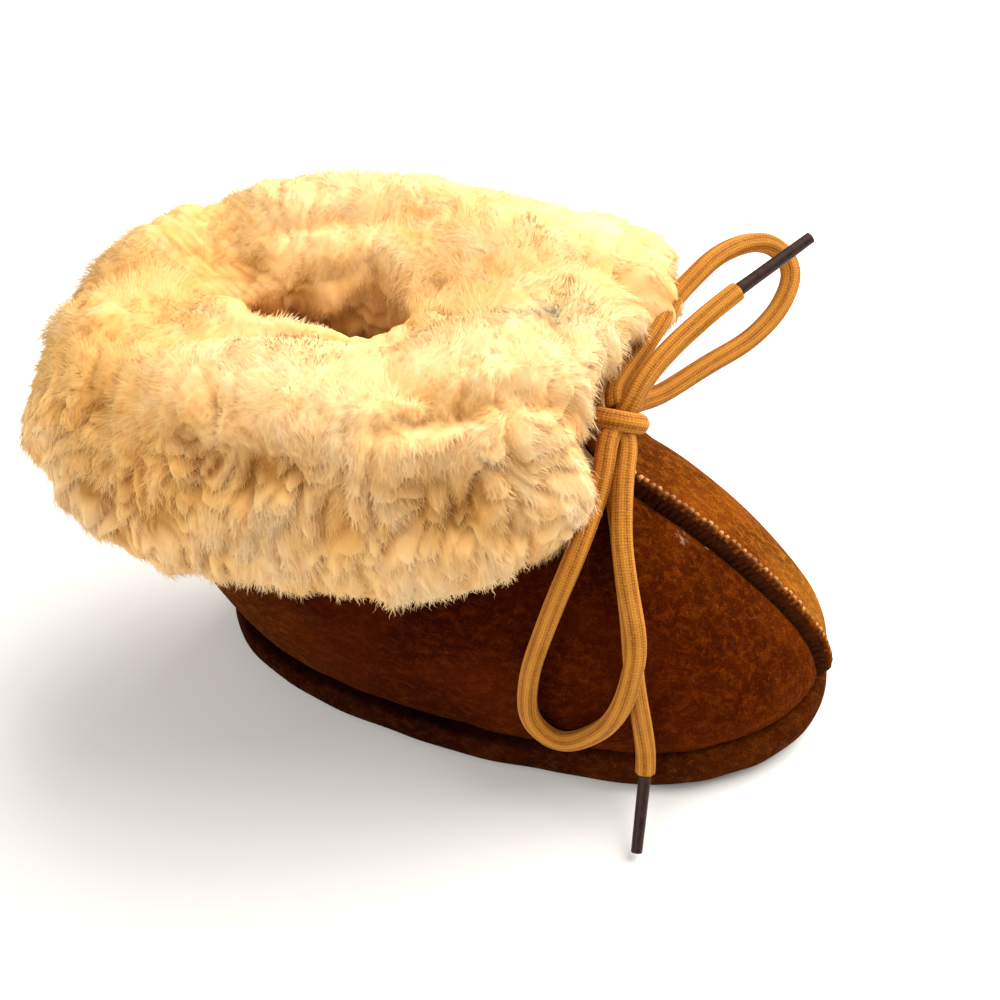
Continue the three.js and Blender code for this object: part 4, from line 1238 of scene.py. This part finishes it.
def suede_group():
    group, given, leave = new_group(
        "suede_nap",
        [("Shade", "Color"), ("Nap", "Color"), ("Brushed", "Color")],
        [("Color", "Color"), ("Roughness", "Float"), ("Height", "Float")],
    )
    place = object_place(group)
    drift = noise(group, place, 48.0, 3.0, 0.55, 0.4)
    stretch = add_node(group, "Mapping")
    plug(group, place, stretch, "Vector")
    stretch.inputs["Rotation"].default_value = (0.3, 0.5, 0.4)
    stretch.inputs["Scale"].default_value = (1.0, 1.7, 1.3)
    strokes = noise(group, stretch.outputs[0], 330.0, 4.0, 0.6, 0.6)
    fibre = noise(group, place, 2600.0, 2.0, 0.6)
    fluff = noise(group, place, 900.0, 4.0, 0.65, 0.3)
    colour = blend(group, span(group, drift, 0.34, 0.66), given["Shade"], given["Nap"])
    colour = blend(group, span(group, strokes, 0.42, 0.74, 0.0, 0.55), colour, given["Brushed"])
    tips = span(group, fluff, 0.54, 0.72, 0.0, 0.65)
    colour = blend(group, tips, colour, given["Brushed"])
    grain = span(group, fibre, 0.3, 0.7, 0.62, 1.2)
    grey = add_node(group, "CombineColor")
    for socket in ("Red", "Green", "Blue"):
        plug(group, grain, grey, socket)
    colour = blend(group, 1.0, colour, grey.outputs[0], "MULTIPLY")
    plug(group, colour, leave, "Color")
    plug(group, span(group, strokes, 0.3, 0.7, 0.95, 0.8), leave, "Roughness")
    relief = math_node(group, "ADD", times(group, fluff, 0.7), times(group, fibre, 0.5))
    plug(group, math_node(group, "ADD", relief, strokes), leave, "Height")
    return group


SUEDE = suede_group()
print("suede is the group", SUEDE.name)

# %% Suede finishes
SCUFF_COLOUR = (0.5, 0.32, 0.2, 1)


def suede_material(name, shade, nap, brushed, changes=(), scuffs=()):
    """A suede finish. Each change is its reach along some axes, and its factor for the colour."""
    material, tree, shader = new_material(
        name, Sheen_Weight=0.02, Sheen_Roughness=0.45, Sheen_Tint=(1, 0.35, 0.05, 1),
        Specular_IOR_Level=0.01,
    )
    group = add_node(tree, "Group", node_tree=SUEDE)
    for socket, colour in (("Shade", shade), ("Nap", nap), ("Brushed", brushed)):
        group.inputs[socket].default_value = (*colour, 1)
    colour = group.outputs["Color"]
    point, place = object_place(tree), add_node(tree, "SeparateXYZ")
    plug(tree, point, place, 0)
    for spans, gain in changes:
        changed = blend(tree, 1.0, colour, (*gain, 1), "MULTIPLY")
        share = 1.0
        for axis, reach in spans.items():
            share = times(tree, span(tree, place.outputs[axis], *reach), share)
        colour = blend(tree, share, colour, changed)
    for middle, reach in scuffs:
        away = vector_node(tree, "DISTANCE", point, middle)
        flecks = span(tree, noise(tree, point, 1100.0, 3.0), 0.48, 0.62, 0.0, 0.45)
        share = times(tree, span(tree, away, 0.3 * reach, reach, 1.0, 0.0), flecks)
        colour = blend(tree, share, colour, SCUFF_COLOUR)
    plug(tree, colour, shader, "Base Color")
    plug(tree, group.outputs["Roughness"], shader, "Roughness")
    add_bump(tree, shader, group.outputs["Height"], 0.55, 0.0005)
    return material


upper_finish = suede_material(
    "chestnut_suede", (0.028, 0.0028, 0.0002), (0.049, 0.0056, 0.0003), (0.105, 0.0155, 0.0008),
    [
        # The far side of the seam and the far panel are lighter: painted light, as if the far panel
        # were lit and the near one in shade.
        ({"Y": (-0.005, -0.0034), "X": (-0.03, 0.02)}, (1.5, 1.9, 2.3)),
        ({"Y": (-0.035, 0.02)}, (1.5, 2.2, 1.9)),
        ({"X": (-0.03, 0.065)}, (1.75, 2.0, 2.0)),
        ({"X": (-0.03, -0.055)}, (1.7, 2.7, 1.4)),
        ({"X": (0.05, 0.074), "Y": (-0.0045, -0.002)}, (1.25, 1.7, 2.2)),
        # Darker high on the near side towards the heel: the cuff's painted shadow.
        ({"Z": (0.035, 0.06), "Y": (-0.022, -0.03), "X": (0.03, 0.0)}, (0.75, 0.6, 0.5)),
    ],
    [((0.0412, -0.0074, 0.0565), 0.0024), ((0.0466, -0.0053, 0.0528), 0.0014)],
)
# The steep near wall of the seam: a darker suede that is painted shade.
painted_shade_wall_finish = suede_material(
    "seam_wall_painted_shade", (0.022, 0.005, 0.0015), (0.045, 0.010, 0.002), (0.11, 0.032, 0.008),
)
rand_finish = suede_material(
    "band_suede", (0.015, 0.002, 0.0004), (0.028, 0.0042, 0.0006), (0.07, 0.014, 0.0025),
    [
        ({"X": (-0.02, 0.07)}, (2.2, 2.6, 1.8)),
        # Darker on the band's top towards the heel: painted shade under the upper's edge.
        ({"Z": (0.0072, 0.0088), "X": (0.035, 0.0)}, (0.3, 0.25, 0.25)),
    ],
)
sole_finish = suede_material(
    "sole_suede", (0.10, 0.04, 0.015), (0.17, 0.075, 0.03), (0.25, 0.12, 0.055),
)
suede_finishes = (upper_finish, painted_shade_wall_finish, rand_finish, sole_finish)
print("suede finishes:", ", ".join(finish.name for finish in suede_finishes))

# %% [markdown]
# ## Wool, lace and tips
# The wool's colour runs from honey at the root to cream at the tip, and from lock to lock; in its
# creases, hollows and opening the honey is painted shade. It reads only the UV map, so that each
# point of that map has one colour. The lace's braid is raised in the mesh, and its fine yarns are
# bump and colour along the same map, with painted shade in its furrows and a painted highlight on
# its ribs. The tips are dark plastic with a soft gloss and small scratches.

# %% Wool finish
# Colours from root to tip, of the darkest locks and of the palest. The dark low end is partly the
# wool's own honey root and partly painted shade, where creases and hollows pull the colour down.
HONEY_WOOL = [(0.0, (0.38, 0.14, 0.02)), (0.45, (0.80, 0.42, 0.12)), (1.0, (0.92, 0.56, 0.21))]
CREAM_WOOL = [(0.0, (0.50, 0.24, 0.06)), (0.45, (0.88, 0.58, 0.27)), (1.0, (0.95, 0.72, 0.44))]


def wool_group():
    group, _, leave = new_group("wool_colour", [], [("Color", "Color")])
    tone, tip = map_place(group)
    colours = []
    for stops in (HONEY_WOOL, CREAM_WOOL):
        ramp = add_node(group, "ValToRGB")
        ramp.color_ramp.elements.new(0.5)
        for element, (place, colour) in zip(ramp.color_ramp.elements, stops):
            element.position = place
            element.color = (*colour, 1)
        plug(group, tip, ramp, 0)
        colours.append(ramp.outputs[0])
    plug(group, blend(group, tone, *colours), leave, "Color")
    return group


WOOL = wool_group()


def wool_material(name, **constants):
    material, tree, shader = new_material(
        name, Roughness=0.85, Sheen_Weight=0.1, Sheen_Roughness=0.5, Sheen_Tint=(1, 0.85, 0.55, 1),
        Specular_IOR_Level=0.06, **constants,
    )
    group = add_node(tree, "Group", node_tree=WOOL)
    plug(tree, group.outputs["Color"], shader, "Base Color")
    return material, tree, shader


def fibre_material(name):
    """Wool for ribbons. Both sides take the body's normal, mirrored where the underside shows."""
    material, tree, shader = wool_material(name)
    surface = add_node(tree, "NewGeometry").outputs
    turned = math_node(tree, "SUBTRACT", 1.0, times(tree, surface["Backfacing"], 2.0))
    soft = vector_node(tree, "SCALE", surface["Normal"], turned)
    facing = vector_node(tree, "DOT_PRODUCT", soft, surface["True Normal"])
    away = math_node(tree, "MAXIMUM", times(tree, facing, -2.0), 0.0)
    normal = vector_node(tree, "ADD", soft, vector_node(tree, "SCALE", surface["True Normal"], away))
    plug(tree, normal, shader, "Normal")
    return material


def skin_material(name, deep, pale):
    material, tree, shader = new_material(
        name, Roughness=0.95, Sheen_Weight=0.2, Specular_IOR_Level=0.1,
    )
    curls = noise(tree, object_place(tree), 420.0, 4.0, 0.6, 1.0)
    colour = blend(tree, span(tree, curls, 0.35, 0.65), (*deep, 1), (*pale, 1))
    plug(tree, colour, shader, "Base Color")
    add_bump(tree, shader, curls, 0.9, 0.0012)
    return material


fibre_finish = fibre_material("cream_fibres")
pile_finish, _, _ = wool_material(
    "cream_pile", Subsurface_Weight=0.6, Subsurface_Radius=(1.0, 0.7, 0.4), Subsurface_Scale=0.003,
)
lining_finish = skin_material("wool_lining", (0.55, 0.34, 0.13), (0.85, 0.64, 0.34))
print("wool finishes:", fibre_finish.name, pile_finish.name, lining_finish.name)

# %% Lace, thread and tip finishes


def lace_material():
    material, tree, shader = new_material(
        "tan_braid", Sheen_Weight=0.05, Sheen_Roughness=0.4, Sheen_Tint=(1, 0.7, 0.35, 1),
        Specular_IOR_Level=0.1,
    )
    turn, share_of_run = map_place(tree)
    run = times(tree, share_of_run, CORD_UV_LENGTH)
    twist = times(tree, run, FURROWS / 2 * FURROW_TWIST)
    ribs = math_node(tree, "ADD", times(tree, turn, math.pi * FURROWS), twist)
    furrow = math_node(tree, "ABSOLUTE", math_node(tree, "COSINE", ribs))
    place = object_place(tree)
    uneven = times(tree, noise(tree, place, 500.0, 2.0), 5.0)
    ahead = math_node(tree, "ADD", times(tree, run, FULL_TURN / TICK_PITCH), uneven)
    about = times(tree, turn, FULL_TURN * YARNS)
    one_way, other_way = (math_node(tree, way, ahead, about) for way in ("ADD", "SUBTRACT"))
    tick = times(tree, math_node(tree, "COSINE", one_way), math_node(tree, "COSINE", other_way))
    drift = noise(tree, place, 130.0, 3.0)
    fuzz = noise(tree, place, 1500.0, 3.0, 0.6)
    # Painted shade down in the furrows between the ribs.
    deep = times(tree, span(tree, furrow, 0.0, 0.5, 0.7, 0.0), span(tree, fuzz, 0.35, 0.6, 1.0, 0.5))
    colour = (0.33, 0.11, 0.0095, 1)
    for share, over in (
        (span(tree, drift, 0.35, 0.65), (0.43, 0.152, 0.015)),
        (span(tree, tick, -0.9, -0.1, 0.35, 0.0), (0.2, 0.06, 0.006)),
        (span(tree, tick, 0.1, 0.8, 0.0, 0.5), (0.74, 0.36, 0.065)),
        (span(tree, fuzz, 0.52, 0.72, 0.0, 0.4), (0.66, 0.29, 0.05)),
        # A painted highlight on the tops of the ribs.
        (span(tree, furrow, 0.6, 1.0, 0.0, 0.4), (0.7, 0.3, 0.04)),
        (deep, (0.17, 0.045, 0.003)),
    ):
        colour = blend(tree, share, colour, (*over, 1))
    plug(tree, colour, shader, "Base Color")
    plug(tree, span(tree, fuzz, 0.3, 0.7, 0.62, 0.8), shader, "Roughness")
    relief = math_node(tree, "ADD", times(tree, tick, 0.45), fuzz)
    add_bump(tree, shader, relief, 0.6, 0.0002)
    return material


def thread_material(name, low, high):
    """Thread with painted shade down in the groove and a painted highlight on the crest."""
    material, tree, shader = new_material(name, Roughness=0.85, Specular_IOR_Level=0.06)
    stitch, along = map_place(tree)
    colour = blend(tree, span(tree, along, 0.42, 0.8), (*low, 1), (*high, 1))
    colour = blend(tree, span(tree, stitch, 0.0, 1.0, 0.0, 0.6), colour, (*low, 1))
    plug(tree, colour, shader, "Base Color")
    return material


def worn_material(name, dark, light, scale, roughness, bump, gloss):
    material, tree, shader = new_material(name, Specular_IOR_Level=gloss)
    marks = noise(tree, object_place(tree), scale, 4.0, 0.65, 0.6)
    colour = blend(tree, span(tree, marks, 0.4, 0.7), (*dark, 1), (*light, 1))
    plug(tree, colour, shader, "Base Color")
    plug(tree, span(tree, marks, 0.3, 0.7, *roughness), shader, "Roughness")
    add_bump(tree, shader, marks, *bump)
    return material


lace_finish = lace_material()
thread_finish = thread_material("seam_thread", (0.05, 0.009, 0.001), (0.68, 0.32, 0.11))
aglet_finish = worn_material(
    "dark_tip", dark=(0.016, 0.005, 0.003), light=(0.045, 0.016, 0.009), scale=500.0,
    roughness=(0.35, 0.6), bump=(0.25, 0.0001), gloss=0.25,
)
print("lace finishes:", lace_finish.name, thread_finish.name, aglet_finish.name)

# %% [markdown]
# ## Dressing the pieces
# Each finish goes to its pieces. The upper takes three, by face: suede outside, wool lining inside,
# and a darker suede on the steep side of its seam, which is painted shade.

# %% Dress the pieces
FINISHES = {
    upper_finish: [upper], rand_finish: [rand], sole_finish: [sole], lining_finish: [footbed],
    pile_finish: [fleece_body], fibre_finish: fleece,
    lace_finish: [knot, *(cord for cord, _, _ in cords.values())],
    thread_finish: [stitches], aglet_finish: list(aglets.values()),
}
for finish, dressed in FINISHES.items():
    for piece in dressed:
        piece.data.materials.append(finish)
for finish in (lining_finish, painted_shade_wall_finish):
    upper.data.materials.append(finish)
print("dressed", sum(len(dressed) for dressed in FINISHES.values()), "pieces")

# %% [markdown]
# ## Floor and light
# A plain pale floor and soft light: a wide lamp high behind the toe's far side, as in a room with
# light from above, and a weaker one in front that opens the shade.

# %% Floor and light
FLOOR_REACH, FLOOR_Z = 3.0, -0.0003
LAMP_AIM = Vector((0, 0, 0.05))


def make_floor():
    mesh = bpy.data.meshes.new("floor")
    corners = ((-1, -1), (1, -1), (1, 1), (-1, 1))
    points = [(x * FLOOR_REACH, y * FLOOR_REACH, FLOOR_Z) for x, y in corners]
    mesh.from_pydata(points, [], [(0, 1, 2, 3)])
    floor = bpy.data.objects.new("floor", mesh)
    bpy.context.scene.collection.objects.link(floor)
    material, _, _ = new_material("pale_floor", Roughness=0.8, Base_Color=(0.93, 0.93, 0.92, 1))
    mesh.materials.append(material)


def make_lamp(name, place, size, power, colour):
    lamp = bpy.data.lights.new(name, "AREA")
    lamp.size, lamp.energy, lamp.color = size, power, colour
    holder = bpy.data.objects.new(name, lamp)
    holder.location = place
    holder.rotation_euler = (LAMP_AIM - Vector(place)).to_track_quat("-Z", "Y").to_euler()
    bpy.context.scene.collection.objects.link(holder)


def make_world(strength):
    world = bpy.data.worlds.new("room")
    world.use_nodes = True
    background = world.node_tree.nodes["Background"].inputs
    background["Color"].default_value = (1, 0.99, 0.97, 1)
    background["Strength"].default_value = strength
    bpy.context.scene.world = world


make_floor()
make_lamp("window", (0.36, 0.42, 0.62), 1.0, 18.0, (1, 0.97, 0.92))
make_lamp("front_fill", (-0.35, -0.55, 0.55), 0.6, 3.6, (1, 0.98, 0.95))
make_world(0.32)
bpy.context.scene.view_settings.view_transform = "Standard"
